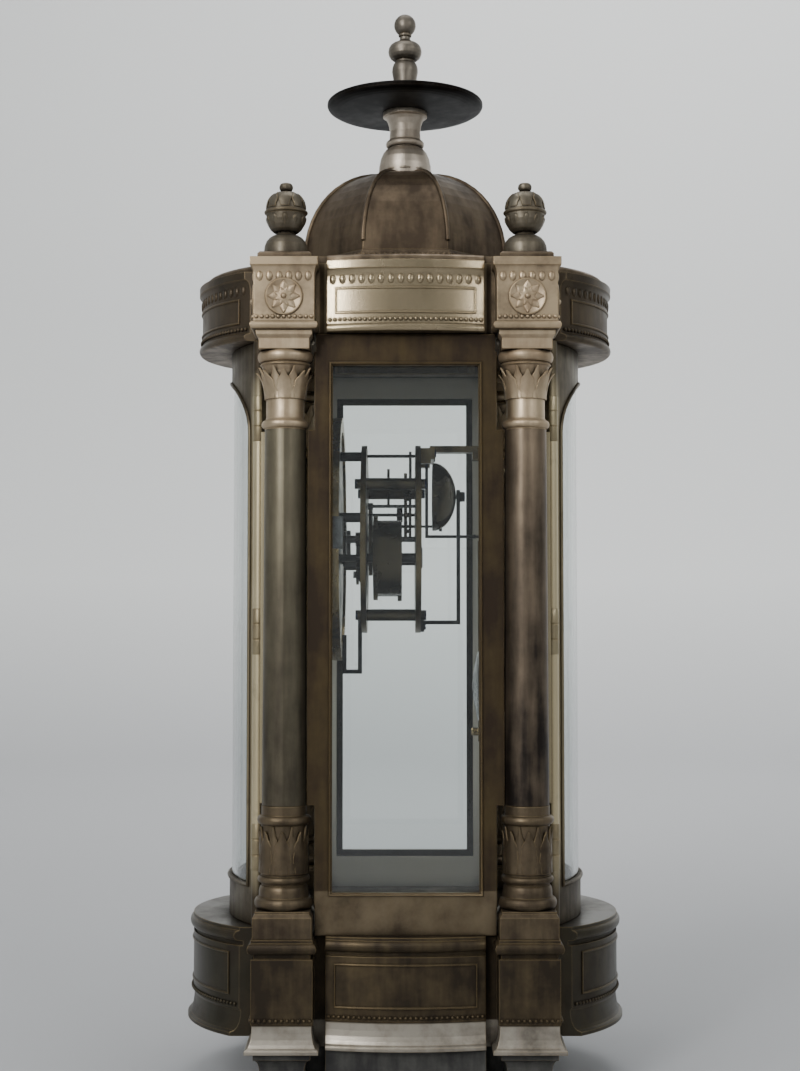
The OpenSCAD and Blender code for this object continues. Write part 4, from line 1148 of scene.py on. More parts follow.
class Workshop:
    """The loaded frame, the shared materials and the geometry trees."""

    def __init__(self, nodes: dict[str, bpy.types.Object]) -> None:
        """Set up the shop.

        Args:
            nodes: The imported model's nodes by name.
        """
        self.nodes = nodes
        self.materials: dict[Finish, bpy.types.Material] = {}
        self.ring = RingTree()
        self.course = CourseTree()
        self.wire = WireTree()

    def material(self, finish: Finish) -> bpy.types.Material:
        """Find or build a finish's material.

        Args:
            finish: The finish.

        Returns:
            Its one material, made the first time it is asked for.
        """
        if finish not in self.materials:
            self.materials[finish] = finish.material()
        return self.materials[finish]

    def dress(self, finishes: dict[str, Finish]) -> None:
        """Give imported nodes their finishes.

        Args:
            finishes: A finish for each node's name.
        """
        for name, finish in finishes.items():
            self.nodes[name].material_slots[0].material = self.material(finish)
            LOG.info("%s is finished in %s", name, finish.name)

    def add(self, name: str, mesh: bpy.types.Mesh, make: Make) -> bpy.types.Object:
        """Add a finished mesh to the clock.

        Args:
            name: The piece's name.
            mesh: Its mesh, in place and in metres.
            make: What it is made of and rides on.

        Returns:
            The piece.
        """
        if not mesh.materials:
            mesh.materials.append(self.material(make.finish))
        mesh.set_sharp_from_angle(angle=math.radians(make.crease))
        piece = bpy.data.objects.new(name, mesh)
        bpy.context.collection.objects.link(piece)
        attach(piece, make.body)
        LOG.info("%s: %d faces of %s on %s", name, len(mesh.polygons), make.finish.name, make.body)
        return piece

    def rings(self, name: str, shape: Shape, spots: Sequence[Spot], make: Make, count: int = 1,
              radius: float = 0.0, turn: float = 0.0, uneven: float = 0.0) -> bpy.types.Object:
        """Add rings of one shape about several axes, or the shape alone on each axis.

        Args:
            name: The piece's name.
            shape: The repeated shape, in millimetres.
            spots: The rings' middles and axes.
            make: What it is made of and rides on.
            count: Shapes in a ring.
            radius: The ring's radius in millimetres.
            turn: The first shape's angle in degrees.
            uneven: The greatest share by which a hand-made shape falls short of full size.

        Returns:
            The piece.
        """
        mesh = self.ring.run(host_mesh([[spot] for spot in spots]), as_mesh("shape", shape),
                             Count=count, Radius=radius * MM, Turn=math.radians(turn),
                             Uneven=uneven, Seed=7, Finish=self.material(make.finish))
        return self.add(name, mesh, make)

    def courses(self, name: str, shape: Shape, paths: Paths, make: Make, spacing: float,
                closed: bool = False) -> bpy.types.Object:
        """Add one shape all along several paths.

        Args:
            name: The piece's name.
            shape: The repeated shape, in millimetres.
            paths: The paths.
            make: What it is made of and rides on.
            spacing: Distance from shape to shape, in millimetres.
            closed: Whether each path runs back into its start.

        Returns:
            The piece.
        """
        mesh = self.course.run(host_mesh(paths, closed), as_mesh("shape", shape),
                               Spacing=spacing * MM, Finish=self.material(make.finish))
        return self.add(name, mesh, make)

    def wires(self, name: str, paths: Paths, make: Make, radius: float, closed: bool = True,
              sides: int = 10) -> bpy.types.Object:
        """Add a round wire along several paths.

        Args:
            name: The piece's name.
            paths: The paths.
            make: What it is made of and rides on.
            radius: The wire's radius in millimetres.
            closed: Whether each path runs back into its start.
            sides: Faces round the wire.

        Returns:
            The piece.
        """
        mesh = self.wire.run(host_mesh(paths, closed), Radius=radius * MM, Sides=sides,
                             Finish=self.material(make.finish))
        return self.add(name, mesh, make)


def at_columns(z: float) -> list[Spot]:
    """Return upright spots on the axes of the four columns, at a height."""
    return [Spot((sx * COLUMN_X, sy * COLUMN_Y, z), along=(sx, 0.0, 0.0))
            for sx in (-1, 1) for sy in (-1, 1)]


# ---------------------------------------------------------------- sub-assemblies


@dataclass
class Storey:
    """Plan of one storey of the case: corner blocks, bows front and back, and side panels."""

    reach: float
    bow_y: float
    bow_half: float = 50.0
    panel_half: float = 34.0
    panel_r: float = 146.5
    panel_x: float = 76.0
    block_inner: float = 55.0
    block_outer: float = 81.0
    block_near: float = 39.0
    block_far: float = 65.0

    def bows(self, offset: float, z: float, margin: float = 0.0) -> list[list[Spot]]:
        """Lay a path along each bow and side panel.

        Args:
            offset: How far the path stands off the face.
            z: Its height.
            margin: How much shorter it is at each end.

        Returns:
            The front and back bows, then the right and left panels.
        """
        radius = self.reach - self.bow_y
        span = math.degrees(math.asin((self.bow_half - margin) / radius))
        small = math.degrees(math.asin((self.panel_half - margin) / self.panel_r))
        inward = self.panel_x - self.panel_r
        return [arc((0, -self.bow_y), radius + offset, -90 - span, -90 + span, z),
                arc((0, self.bow_y), radius + offset, 90 - span, 90 + span, z),
                arc((inward, 0), self.panel_r + offset, -small, small, z),
                arc((-inward, 0), self.panel_r + offset, 180 - small, 180 + small, z)]

    def blocks(self, offset: float, z: float, margin: float) -> list[list[Spot]]:
        """Lay a path along each outer face of the corner blocks.

        Args:
            offset: How far the path stands off the face.
            z: Its height.
            margin: How much shorter it is at each end.

        Returns:
            Two paths for each block.
        """
        paths = []
        low, high = self.block_inner + margin, self.block_outer - margin
        near, far = self.block_near + margin, self.block_far - margin
        for sx in (-1, 1):
            for sy in (-1, 1):
                y, x = sy * (self.block_far + offset), sx * (self.block_outer + offset)
                ends_x = sorted((sx * low, sx * high), reverse=sy > 0)
                ends_y = sorted((sy * near, sy * far), reverse=sx < 0)
                paths.append([Spot((end, y, z), (0, sy, 0), (0, 0, 1)) for end in ends_x])
                paths.append([Spot((x, end, z), (sx, 0, 0), (0, 0, 1)) for end in ends_y])
        return paths

    def frames(self, z0: float, z1: float, margin: float) -> list[list[Spot]]:
        """Lay a closed oblong on each bow and panel.

        Args:
            z0: Its foot.
            z1: Its top.
            margin: Its distance from the face's ends.

        Returns:
            The oblongs.
        """
        return [low + high[::-1] for low, high in zip(self.bows(0.0, z0, margin),
                                                      self.bows(0.0, z1, margin))]


@dataclass
class Case:
    """Plinth, cornice, columns and feet: the bronze body, with its leaves, beads and flowers."""

    shop: Workshop
    base_leaf_z: float = 99.6
    base_leaf_r: float = 9.9
    capital_leaf_z: float = 302.0
    capital_leaf_r: float = 8.3
    plinth_bead_z: float = 39.6
    cornice_bead_z: float = 336.4
    leaf_tip_z: float = 353.9
    plinth_frame_z: tuple[float, float] = (43.6, 61.5)
    frieze_frame_z: tuple[float, float] = (339.4, 350.0)
    frame_margin: float = 4.0
    flower_z: float = 345.0
    plinth_plan: Storey = field(default_factory=lambda: Storey(98.0, 36.0))
    cornice_plan: Storey = field(default_factory=lambda: Storey(95.5, 35.0))

    def build(self) -> None:
        """Dress the case's nodes and add its ornament."""
        self.shop.dress({
            "feet": DARK_CAST, "base_frame": DARK_CAST, "plinth": PLINTH_CAST,
            "column_bases": BASE_CAST, "column_front_left": COLUMN_BRASS,
            "column_front_right": COLUMN_BRASS, "column_rear_left": SHADED_COLUMN_BRASS,
            "column_rear_right": SHADED_COLUMN_BRASS, "capitals": CAPITAL_BRASS,
            "cornice": CORNICE_CAST, "tie_rods": GREY_STEEL, "tie_nuts": GREY_STEEL})
        self.leaves()
        self.beads()
        self.fillets()
        self.flowers()

    def leaves(self) -> None:
        """Add two layers of chased leaves round the column feet and the capitals."""
        eighth = 22.5
        bases, bronze = at_columns(self.base_leaf_z), Make(BASE_CAST, Slot.AGED_BRONZE)
        for name, height, half, turn, curl in (("base_leaves", 18.6, 3.7, 0.0, 1.0),
                                               ("base_leaves_behind", 20.4, 2.6, eighth, 0.5)):
            shape = leaf(height, half, lambda v: -0.2 * v, curl)
            self.shop.rings(name, shape, bases, bronze, count=8, radius=self.base_leaf_r,
                            turn=turn, uneven=0.04)
        tops, brass = at_columns(self.capital_leaf_z), Make(CAPITAL_BRASS, Slot.AGED_BRASS)
        for name, height, half, turn, curl in (("capital_leaves", 12.6, 3.3, 0.0, 1.5),
                                               ("capital_leaves_behind", 14.2, 2.4, eighth, 0.9)):
            shape = leaf(height, half, self.capital_bell, curl, thick=0.8)
            self.shop.rings(name, shape, tops, brass, count=8, radius=self.capital_leaf_r,
                            turn=turn, uneven=0.04)

    @staticmethod
    def capital_bell(share: float) -> float:
        """Return how far the capital's bell swells at a share of the leaves' height."""
        return 2.8 * (1 - math.cos(math.pi / 2 * min(1.0, share)))

    def beads(self) -> None:
        """Add the courses of beads and leaf tips on the storeys' mouldings."""
        for name, plan, z, make in (
                ("plinth_beads", self.plinth_plan, self.plinth_bead_z,
                 Make(PLINTH_CAST, Slot.DARK_BRONZE)),
                ("cornice_beads", self.cornice_plan, self.cornice_bead_z,
                 Make(CORNICE_CAST, Slot.AGED_BRONZE))):
            paths = plan.bows(0.1, z, margin=1.4) + plan.blocks(0.1, z, margin=1.2)
            self.shop.courses(name, bead(0.95), paths, make, spacing=2.15)
        plan, margin = self.cornice_plan, 2.6
        paths = plan.bows(0.0, self.leaf_tip_z, margin) + plan.blocks(0.0, self.leaf_tip_z, margin)
        tip = bead(1.0, stretch=(1.55, 2.3, 0.75), rings=6)
        self.shop.courses("cornice_leaf_tips", tip, paths, Make(CORNICE_CAST, Slot.AGED_BRONZE),
                          spacing=4.15)

    def fillets(self) -> None:
        """Add the thin raised frames on the friezes and the plinth's faces."""
        for name, plan, heights, make in (
                ("plinth_fillets", self.plinth_plan, self.plinth_frame_z,
                 Make(PLINTH_CAST, Slot.DARK_BRONZE)),
                ("frieze_fillets", self.cornice_plan, self.frieze_frame_z,
                 Make(CORNICE_CAST, Slot.AGED_BRONZE))):
            self.shop.wires(name, plan.frames(*heights, self.frame_margin), make, radius=0.65,
                            sides=8)

    def flowers(self) -> None:
        """Put a two-storeyed flower in place of each plain rosette on the cornice blocks."""
        plan, z = self.cornice_plan, self.flower_z
        spots = []
        for sx in (-1, 1):
            for sy in (-1, 1):
                spots.append(Spot((sx * plan.block_outer, sy * COLUMN_Y, z), (sx, 0, 0), (0, 0, 1)))
                spots.append(Spot((sx * COLUMN_X, sy * plan.block_far, z), (0, sy, 0), (0, 0, 1)))
        raised = [Spot(tuple(Vector(s.at) + 1.5 * Vector(s.facing)), s.facing, s.along)
                  for s in spots]
        dish = turned([(0, 0.0), (8.1, 0.0), (8.1, 0.7), (7.6, 1.15), (7.0, 0.75), (0, 0.6)])
        petal = leaf(5.6, 2.1, lambda v: 0.5, 0.5, thick=0.75, lobes=1, lying=True)
        inner = leaf(3.5, 1.35, lambda v: 1.15 - 0.4 * v, 0.5, thick=0.6, lobes=1, lying=True)
        heart = bead(1.25, stretch=(1, 1, 0.9), segments=12, rings=8)
        brass = Make(CAPITAL_BRASS, Slot.AGED_BRASS)
        for name, shape, places, ring in (
                ("rosette_dishes", dish, spots, {}),
                ("rosette_petals", petal, spots, {"count": 8, "radius": 1.5, "uneven": 0.05}),
                ("rosette_inner_petals", inner, spots,
                 {"count": 8, "radius": 0.9, "turn": 22.5, "uneven": 0.05}),
                ("rosette_hearts", heart, raised, {})):
            piece = self.shop.rings(name, shape, places, brass, **ring)
            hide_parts("rosettes")


@dataclass
class Roof:
    """Roof plate, eight-sided dome with ribs, tall finial with its smoke cap, and corner urns."""

    shop: Workshop
    flats: float = 92.0
    dome_foot: float = 375.0
    dome_neck: float = 10.5
    dome_top: float = 417.0
    foot_bead_out: float = 1.7
    foot_bead_z: float = 370.4
    stem_leaf_z: float = 419.2
    cap_bead_z: float = 451.9
    cap_bead_r: float = 36.3
    urn_lobe_z: float = 378.6
    urn_lid_z: float = 385.5

    def build(self) -> None:
        """Dress the roof's nodes and add its ribs, beads and gadroons."""
        self.shop.dress({
            "roof_plate": ROOF_BRASS, "dome": DOME_BRASS, "finial_stem": STEM_BRASS,
            "smoke_cap": SHADE_BLACK_CAP, "finial_spindle": SPINDLE_BRASS,
            "corner_finials": URN_BRASS})
        self.ribs()
        self.gadroons()
        self.rims()

    @staticmethod
    def hips() -> list[tuple[float, float]]:
        """Find the hips of a dome whose flat sides stand 1 from its axis.

        Returns:
            Each hip's place, seen from above.
        """
        corner = 1 / math.cos(math.pi / 8)
        turns = [math.radians(22.5 + 45 * k) for k in range(8)]
        return [(corner * math.cos(a), corner * math.sin(a)) for a in turns]

    def ribs(self) -> None:
        """Run a rib down each of the dome's eight hips, by the rule that shapes the dome."""
        first, last, steps = math.radians(3), math.radians(88), 12
        half, height = self.flats / 2, self.dome_top - self.dome_foot
        paths = []
        for x, y in self.hips():
            path = []
            for i in range(steps + 1):
                t = first + (last - first) * i / steps
                reach = half - (half - self.dome_neck) * (1 - math.cos(t))
                path.append(Spot((reach * x, reach * y, self.dome_foot + height * math.sin(t))))
            paths.append(path)
        self.shop.wires("dome_ribs", paths, Make(DOME_BRASS, Slot.AGED_BRONZE), radius=1.05,
                        closed=False)

    def gadroons(self) -> None:
        """Add the lobes round the urns and their lids, and leaves at the stem's foot."""
        brass = Make(URN_BRASS, Slot.AGED_BRASS)
        lobe = bead(1.0, stretch=(1.5, 1.75, 4.6), rings=7)
        lean = Matrix.Rotation(math.radians(33), 3, "Y")
        bmesh.ops.rotate(lobe, verts=lobe.verts, matrix=lean)
        self.shop.rings("urn_gadroons", lobe, at_columns(self.urn_lobe_z), brass, count=11,
                        radius=6.3, uneven=0.03)
        lid_leaf = leaf(7.0, 2.5, lambda v: -5.8 * (1 - math.sqrt(1 - (0.9 * v) ** 2)), 0.0,
                        thick=0.5, lobes=2)
        self.shop.rings("urn_lid_leaves", lid_leaf, at_columns(self.urn_lid_z), brass, count=9,
                        radius=8.35, uneven=0.03)
        stem_leaf = leaf(11.5, 3.4, lambda v: -4.6 * math.sin(math.pi / 2 * v), 0.7, thick=0.8)
        self.shop.rings("stem_leaves", stem_leaf, [Spot((0, 0, self.stem_leaf_z))],
                        Make(STEM_BRASS, Slot.AGED_BRASS), count=10, radius=12.2, uneven=0.03)

    def rims(self) -> None:
        """Add the beads on the smoke cap's edge and round the dome's foot."""
        self.shop.rings("cap_beads", bead(0.75), [Spot((0, 0, self.cap_bead_z))],
                        Make(SHADE_BLACK_CAP, Slot.AGED_BRONZE), count=110, radius=self.cap_bead_r)
        side = self.flats / 2 + self.foot_bead_out
        path = [Spot((side * x, side * y, self.foot_bead_z), (x, y, 0)) for x, y in self.hips()]
        self.shop.courses("dome_beads", bead(1.0), [path], Make(DOME_BRASS, Slot.AGED_BRONZE),
                          spacing=2.4, closed=True)


@dataclass
class Glazing:
    """Side frames, the two bowed doors with their catches and hinges, and the plate glass."""

    shop: Workshop
    radius: float = 82.824
    centre_y: float = 1.324
    open_half: float = 42.16
    pane_foot: float = 91.0
    spring: float = 291.0
    rise: float = 26.0
    bead_lap: float = 0.9
    stand_off: float = 0.1
    pin: tuple[float, float] = (50.4, 64.4)
    hinge_z: Point = (108.0, 202.0, 296.0)
    catch_at: Point = (-45.5, 67.9, 204.0)
    side_x: float = 70.0
    side_half: float = 31.5
    side_foot: float = 91.0
    side_head: float = 317.0
    side_lap: float = 1.0

    def build(self) -> None:
        """Dress the frames and panes and add the doors' mouldings, hinges and catch plates."""
        self.shop.dress({
            "side_frame_left": SIDE_FRAME, "side_frame_right": SIDE_FRAME,
            "door_jambs": DOOR_BRASS, "front_door_frame": DOOR_BRASS,
            "rear_door_frame": DOOR_BRASS, "front_catch": KNOB_BRASS, "rear_catch": KNOB_BRASS,
            "side_glass_left": CLEAR_PANE, "side_glass_right": CLEAR_PANE,
            "front_glass": CLEAR_PANE, "rear_glass": CLEAR_PANE})
        for body, side in (("front_door", -1), ("rear_door", 1)):
            self.moulding(body, side)
            self.hinges(body, side)
            self.catch_plate(body, side)
        self.side_mouldings()

    def moulding(self, body: str, side: int) -> None:
        """Run a bead round the arched opening of one door.

        Args:
            body: The door's body.
            side: -1 at the front and 1 at the back.
        """
        half, foot = self.open_half + self.bead_lap, self.pane_foot - self.bead_lap
        tall, crown = self.spring - foot, self.rise + self.bead_lap
        flat = [(half * (i / 8 - 1), foot) for i in range(17)]
        flat += [(half, foot + tall * i / 10) for i in range(1, 11)]
        flat += [(half * math.cos(t), self.spring + crown * math.sin(t))
                 for t in (math.pi * i / 30 for i in range(1, 31))]
        flat += [(-half, self.spring - tall * i / 10) for i in range(1, 10)]
        bent, path = self.radius + self.stand_off, []
        for x, z in flat:
            across = math.asin(x / bent)
            y = side * (bent * math.cos(across) - self.centre_y)
            path.append(Spot((x, y, z), (x / self.radius, side * math.cos(across), 0), (0, 0, 1)))
        self.shop.wires(body + "_moulding", [path], Make(DOOR_BRASS, Slot.AGED_BRASS, body),
                        radius=0.95)

    def hinges(self, body: str, side: int) -> None:
        """Add three turned hinge knuckles to a door's hanging edge.

        Args:
            body: The door's body.
            side: -1 at the front and 1 at the back.
        """
        bore, lip, barrel, groove, end = 2.6, 3.1, 3.26, 3.05, 10.0
        profile = [(bore, -end), (lip, -end), (barrel, 0.4 - end)]
        for z in (-3.4, 3.4):
            profile += [(barrel, z - 0.35), (groove, z - 0.2), (groove, z + 0.2),
                        (barrel, z + 0.35)]
        profile += [(barrel, end - 0.4), (lip, end), (bore, end)]
        spots = [Spot((self.pin[0], side * self.pin[1], z)) for z in self.hinge_z]
        self.shop.rings(body + "_knuckles", turned(profile, 24, ring=True), spots,
                        Make(KNOB_BRASS, Slot.AGED_BRASS, body))

    def catch_plate(self, body: str, side: int) -> None:
        """Add the round plate under a door's knob.

        Args:
            body: The door's body.
            side: -1 at the front and 1 at the back.
        """
        x, y, z = self.catch_at
        out = Vector((x, side * (y + self.centre_y), 0)).normalized()
        bore, edge, back, face = 1.75, 4.3, -0.6, 0.24
        plate = turned([(bore, back), (edge, back), (edge, 0.1), (edge - 0.4, face),
                        (bore, face)], 28, ring=True)
        self.shop.rings(body + "_catch_plate", plate,
                        [Spot((x, side * y, z), tuple(out), (0, 0, 1))],
                        Make(KNOB_BRASS, Slot.AGED_BRASS, body))

    def side_mouldings(self) -> None:
        """Run a fine bead round the sides' openings."""
        half = self.side_half + self.side_lap
        low, high = self.side_foot - self.side_lap, self.side_head + self.side_lap
        corners = [(-half, low), (half, low), (half, high), (-half, high)]
        paths = [[Spot((side * (self.side_x + self.stand_off), y, z), (side, 0, 0), (0, 0, 1))
                  for y, z in corners] for side in (-1, 1)]
        self.shop.wires("side_mouldings", paths, Make(SIDE_FRAME, Slot.AGED_BRONZE), radius=0.85)


# Painted letters: strokes as shares of the height, and their widths in millimetres
NUMERALS = ("I", "II", "III", "IIII", "V", "VI", "VII", "VIII", "IX", "X", "XI", "XII")
THICK, THIN = 1.15, 0.4
GLYPH_WIDTH = {"I": 0.44, "V": 0.86, "X": 0.86}
HEADS = ((-0.4, 0.98, -0.12, 0.98, THIN), (0.12, 0.98, 0.4, 0.98, THIN))
FEET = ((-0.4, 0.02, -0.12, 0.02, THIN), (0.12, 0.02, 0.4, 0.02, THIN))
GLYPHS = {
    "I": ((0, 0, 0, 1, THICK), (-0.17, 0.02, 0.17, 0.02, THIN), (-0.17, 0.98, 0.17, 0.98, THIN)),
    "V": ((-0.26, 1, 0, 0, THICK), (0.26, 1, 0, 0, THIN), *HEADS),
    "X": ((-0.26, 1, 0.26, 0, THICK), (0.26, 1, -0.26, 0, THIN), *HEADS, *FEET),
}


@dataclass
class Dial:
    """Enamel dial with painted numerals and minute track, its grommets, bezel and hands."""

    shop: Workshop
    face_y: float = -33.6
    paint: float = 0.14
    sunk: float = 0.05
    track: tuple[float, float] = (43.6, 46.4)
    line_half: float = 0.16
    bar_widths: tuple[float, float] = (0.42, 1.1)
    numeral_r: tuple[float, float] = (32.4, 42.0)
    squeeze: float = 0.6
    bezel_y: float = -35.3
    bezel_r: float = 55.8

    def build(self) -> None:
        """Dress the dial's nodes and paint its markings."""
        self.shop.dress({
            "bezel": BEZEL_BRASS, "dial_plate": PLATE_BRASS, "dial": FIRED_ENAMEL,
            "bezel_lugs": GREY_STEEL, "dial_supports": DARK_STEEL, "minute_hand": BLUED_STEEL,
            "hour_hand": BLUED_STEEL, "hour_wheel": turned_brass("motion_brass", 0.0, 0.0, 3.0),
            "cannon_pinion": GREY_STEEL})
        self.numerals()
        self.minute_track()
        self.grommets()
        self.shop.rings("bezel_beads", bead(0.95), [self.middle(self.bezel_y)],
                        Make(BEZEL_BRASS, Slot.AGED_BRASS), count=150, radius=self.bezel_r)

    def middle(self, y: float) -> Spot:
        """Return the dial's middle at a depth, facing the reader."""
        return Spot((0, y, DIAL_Z), (0, -1, 0), (1, 0, 0))

    def numerals(self) -> None:
        """Draw the twelve hours as raised strokes of paint, feet to the centre."""
        bm = bmesh.new()
        height = self.numeral_r[1] - self.numeral_r[0]
        for hour, word in enumerate(NUMERALS, 1):
            angle = math.radians(30 * hour)
            out = Vector((math.sin(angle), 0, math.cos(angle)))
            right = Vector((math.cos(angle), 0, -math.sin(angle)))
            x = -sum(GLYPH_WIDTH[letter] for letter in word) / 2
            for letter in word:
                centre = x + GLYPH_WIDTH[letter] / 2
                for x0, z0, x1, z1, thick in GLYPHS[letter]:
                    start, end = (Vector(((centre + across) * self.squeeze, up)) * height
                                  for across, up in ((x0, z0), (x1, z1)))
                    self.stroke(bm, start, end, thick, right, out)
                x += GLYPH_WIDTH[letter]
        self.shop.add("hour_numerals", as_mesh("numerals", bm),
                      Make(FIRED_BLACK, Slot.ENAMEL, crease=30.0))

    def stroke(self, bm: Shape, start: Vector, end: Vector, thick: float, right: Vector,
               out: Vector) -> None:
        """Draw one stroke of paint on the dial.

        Args:
            bm: The mesh that it is added to.
            start: Its start, across and up the numeral.
            end: Its end.
            thick: Its width.
            right: The numeral's way across the dial.
            out: The numeral's way out from the centre.
        """
        way = (end - start).normalized()
        side = Vector((-way.y, way.x)) * thick / 2
        middle = Vector((0, self.face_y, DIAL_Z)) + out * self.numeral_r[0]
        corners = [middle + right * p.x + out * p.y
                   for p in (start + side, end + side, end - side, start - side)]
        foot = [bm.verts.new(c + Vector((0, self.sunk, 0))) for c in corners]
        face = [bm.verts.new(c - Vector((0, self.paint, 0))) for c in corners]
        bm.faces.new(foot)
        bm.faces.new(face)
        for i in range(4):
            j = (i + 1) % 4
            bm.faces.new((foot[i], foot[j], face[j], face[i]))

    def minute_track(self) -> None:
        """Paint sixty minute bars, twelve broader ones at the hours, and two lines round them."""
        inner, outer = self.track
        spot = [self.middle(self.face_y)]
        for name, count, width in zip(("minute_bars", "hour_bars"), (60, 12), self.bar_widths):
            bar = bmesh.new()
            bmesh.ops.create_cube(bar, size=1.0)
            bmesh.ops.scale(bar, vec=(outer - inner, width, 2 * self.paint), verts=bar.verts)
            self.shop.rings(name, bar, spot, Make(FIRED_BLACK, Slot.ENAMEL, crease=30.0),
                            count=count, radius=(inner + outer) / 2)
        for name, radius in (("track_inner_line", inner), ("track_outer_line", outer)):
            near, far = radius - self.line_half, radius + self.line_half
            line = turned([(near, -self.sunk), (far, -self.sunk), (far, self.paint),
                           (near, self.paint)], 120, ring=True)
            self.shop.rings(name, line, spot, Make(FIRED_BLACK, Slot.ENAMEL))

    def grommets(self) -> None:
        """Add the brass rings in the winding holes and at the centre."""
        holes = [Spot((s * WINDING_X, self.face_y, DIAL_Z + WINDING_Z), (0, -1, 0))
                 for s in (-1, 1)]
        for name, inner, outer, spots in (("winding_grommets", 2.9, 4.4, holes),
                                          ("centre_grommet", 3.4, 4.9,
                                           [self.middle(self.face_y)])):
            crest, shoulder, back = inner + 0.3, outer - 0.4, -0.8
            ring = turned([(inner, back), (inner, 0.12), (crest, 0.34), (shoulder, 0.3),
                           (outer, 0.0), (outer, -0.1), (crest, back)], 36, ring=True)
            self.shop.rings(name, ring, spots, Make(BEZEL_BRASS, Slot.POLISHED_BRASS))


# The wheels' arbors: across and up from the dial's centre, and the radius of the steel core
ARBORS = {
    "going_barrel": (WINDING_X, WINDING_Z, 2.6),
    "strike_barrel": (-WINDING_X, WINDING_Z, 2.6),
    "centre_wheel": (0.0, 0.0, 3.4),
    "minute_wheel": (0.0, -12.0, 1.9),
    "third_wheel": (10.491, 14.872, 1.9),
    "escape_wheel": (0.0, 27.451, 1.7),
    "pin_wheel": (-18.065, 12.556, 3.4),
    "locking_wheel": (-15.704, 25.949, 1.8),
    "fly": (-24.584, 29.181, 1.5),
}
HAMMER_PIVOT = (-36.0, 8.0)


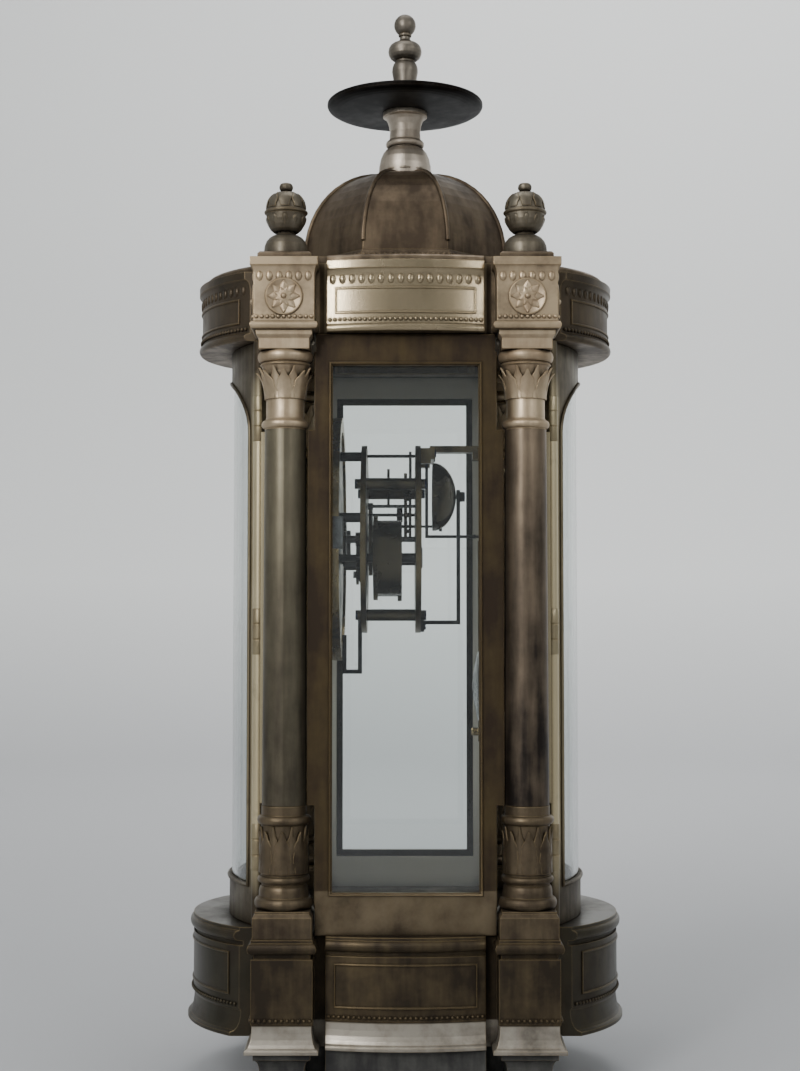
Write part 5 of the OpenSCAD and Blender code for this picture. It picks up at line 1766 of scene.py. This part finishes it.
@dataclass
class Movement:
    """Plates, barrels, both trains, the bell and its hammer, with the screws that hold them."""

    shop: Workshop
    front_y: float = -20.25
    back_y: float = 7.25
    pillar_front: float = 1.8
    pillar_back: float = 1.6
    click_front: float = 2.6
    pillar_r: float = 38.5
    pillar_angles: tuple[float, ...] = (38.0, 142.0, 248.0, 292.0)
    bell_at: Point = (7.5, 26.95, 19.5)
    cock_screws: tuple[tuple[float, float], ...] = ((-11.0, 39.45), (11.0, 39.45))
    cock_y: float = 13.65
    stand_screw: tuple[float, float] = (7.5, -40.6)
    click_screw: tuple[float, float] = (29.494, -17.494)
    lug_at: tuple[float, float] = (59.5, -33.3)
    bob_at: Point = (0.0, 35.25, 176.25)
    nut_z: float = 154.9

    def build(self) -> None:
        """Dress the movement's nodes and add its screws, oil sinks, washers and bob."""
        bell_x, _, bell_z = self.bell_at
        finishes = {
            "front_plate": PLATE_BRASS, "back_plate": PLATE_BRASS, "plate_pillars": PILLAR_BRASS,
            "clicks": DARK_STEEL, "bell": turned_brass("bell_metal", bell_x, bell_z, 0.0),
            "bell_stand": DARK_STEEL, "back_cock": PLATE_BRASS, "going_arbor": DARK_STEEL,
            "strike_arbor": DARK_STEEL, "pallets": DARK_STEEL, "hammer": DARK_STEEL,
            "pendulum": ROD_BRASS}
        finishes.update({name: turned_brass(name + "_brass", *arbor)
                         for name, arbor in ARBORS.items()})
        self.shop.dress(finishes)
        self.screws()
        self.oil_sinks()
        self.washers()
        self.bob()

    def at(self, point: tuple[float, float], y: float, side: int) -> Spot:
        """Return a place on a plate's outer face.

        Args:
            point: Across and up from the dial's centre.
            y: Its depth.
            side: -1 where it faces the front and 1 where it faces the back.

        Returns:
            The spot, with its screw slot a little aslant as a hand leaves it.
        """
        x, up = point
        slant = math.sin(17.0 * x + 5.0 * up)
        return Spot((x, y, DIAL_Z + up), (0, side, 0), (1.0, 0.0, slant))

    def screws(self) -> None:
        """Set slotted heads on the pillars, the cock, the clicks, the lugs and the bell stand."""
        pillars = [(self.pillar_r * math.cos(t), self.pillar_r * math.sin(t))
                   for t in map(math.radians, self.pillar_angles)]
        bell_x, bell_y, bell_z = self.bell_at
        back = self.back_y + self.pillar_back
        big = [self.at(p, self.front_y - self.pillar_front, -1) for p in pillars]
        big += [self.at(p, back, 1) for p in pillars]
        big.append(self.at((bell_x, bell_z), bell_y, 1))
        small = [self.at(p, self.cock_y, 1) for p in self.cock_screws]
        small.append(self.at(self.stand_screw, back, 1))
        x, z = self.click_screw
        fine = [self.at((s * x, z), self.front_y - self.click_front, -1) for s in (-1, 1)]
        x, y = self.lug_at
        fine += [Spot((s * x, y, DIAL_Z + z), (-s, 0, 0), (0, 1, 0.4))
                 for s in (-1, 1) for z in (-4, 4)]
        for name, radius, height, spots, finish in (
                ("pillar_screws", 2.3, 0.9, big, BLUED_STEEL),
                ("cock_screws", 1.9, 0.8, small, BLUED_STEEL),
                ("lug_screws", 1.6, 0.7, fine, GREY_STEEL)):
            self.shop.rings(name, slotted_screw(radius, height), spots, Make(finish, Slot.STEEL))

    def oil_sinks(self) -> None:
        """Ring each pivot with the bright lip of its oil sink."""
        names = ("third_wheel", "escape_wheel", "pin_wheel", "locking_wheel", "fly")
        pivots = [ARBORS[name][:2] for name in names] + [HAMMER_PIVOT]
        hole, edge, foot = 0.68, 2.15, -0.05
        lip = turned([(hole, foot), (hole, 0.04), (1.5, 0.1), (1.9, 0.2), (edge, 0.1),
                      (edge, foot)], 24, ring=True)
        spots = [self.at(p, y, side) for p in pivots
                 for y, side in ((self.front_y, -1), (self.back_y, 1))]
        self.shop.rings("oil_sinks", lip, spots, Make(BEZEL_BRASS, Slot.POLISHED_BRASS))

    def washers(self) -> None:
        """Put a turned washer round each winding arbor on the back plate."""
        spots = [Spot((s * WINDING_X, self.back_y, DIAL_Z + WINDING_Z), (0, 1, 0))
                 for s in (-1, 1)]
        bore, edge, foot, top = 2.5, 4.9, -0.05, 0.7
        washer = turned([(bore, foot), (bore, top - 0.2), (bore + 0.5, top), (edge - 0.5, top),
                         (edge, 0.3), (edge, foot)], 32, ring=True)
        self.shop.rings("arbor_washers", washer, spots, Make(GREY_STEEL, Slot.STEEL))

    def bob(self) -> None:
        """Cover the pendulum's plain disc with a turned bob, and knurl its rating nut."""
        half = [(16.25, 0.0), (16.25, 0.85), (15.6, 1.25), (14.6, 1.4), (14.0, 1.75),
                (13.2, 1.55), (9.0, 2.65), (6.6, 3.12), (5.6, 3.35), (5.0, 3.15), (3.0, 3.2),
                (2.2, 3.7), (0, 3.95), (0, 0)]
        for name, side in (("bob_front", -1), ("bob_back", 1)):
            self.shop.rings(name, turned(half, 64), [Spot(self.bob_at, (0, side, 0))],
                            Make(BOB_STEEL, Slot.STEEL, "pendulum"))
        ridge = bead(0.34, stretch=(1, 1, 5.2), segments=6)
        self.shop.rings("rating_nut_knurl", ridge, [Spot((*self.bob_at[:2], self.nut_z))],
                        Make(BEZEL_BRASS, Slot.POLISHED_BRASS, "pendulum"), count=34,
                        radius=4.0)


def main() -> None:
    """Build the studio and every sub-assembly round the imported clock."""
    logging.basicConfig(level=logging.INFO, format="%(message)s")
    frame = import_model()
    Studio().build()
    shop = Workshop(frame["nodes"])
    for part in (Case(shop), Roof(shop), Glazing(shop), Dial(shop), Movement(shop)):
        LOG.info("building the %s", type(part).__name__.lower())
        part.build()


if __name__ == "__main__":
    main()
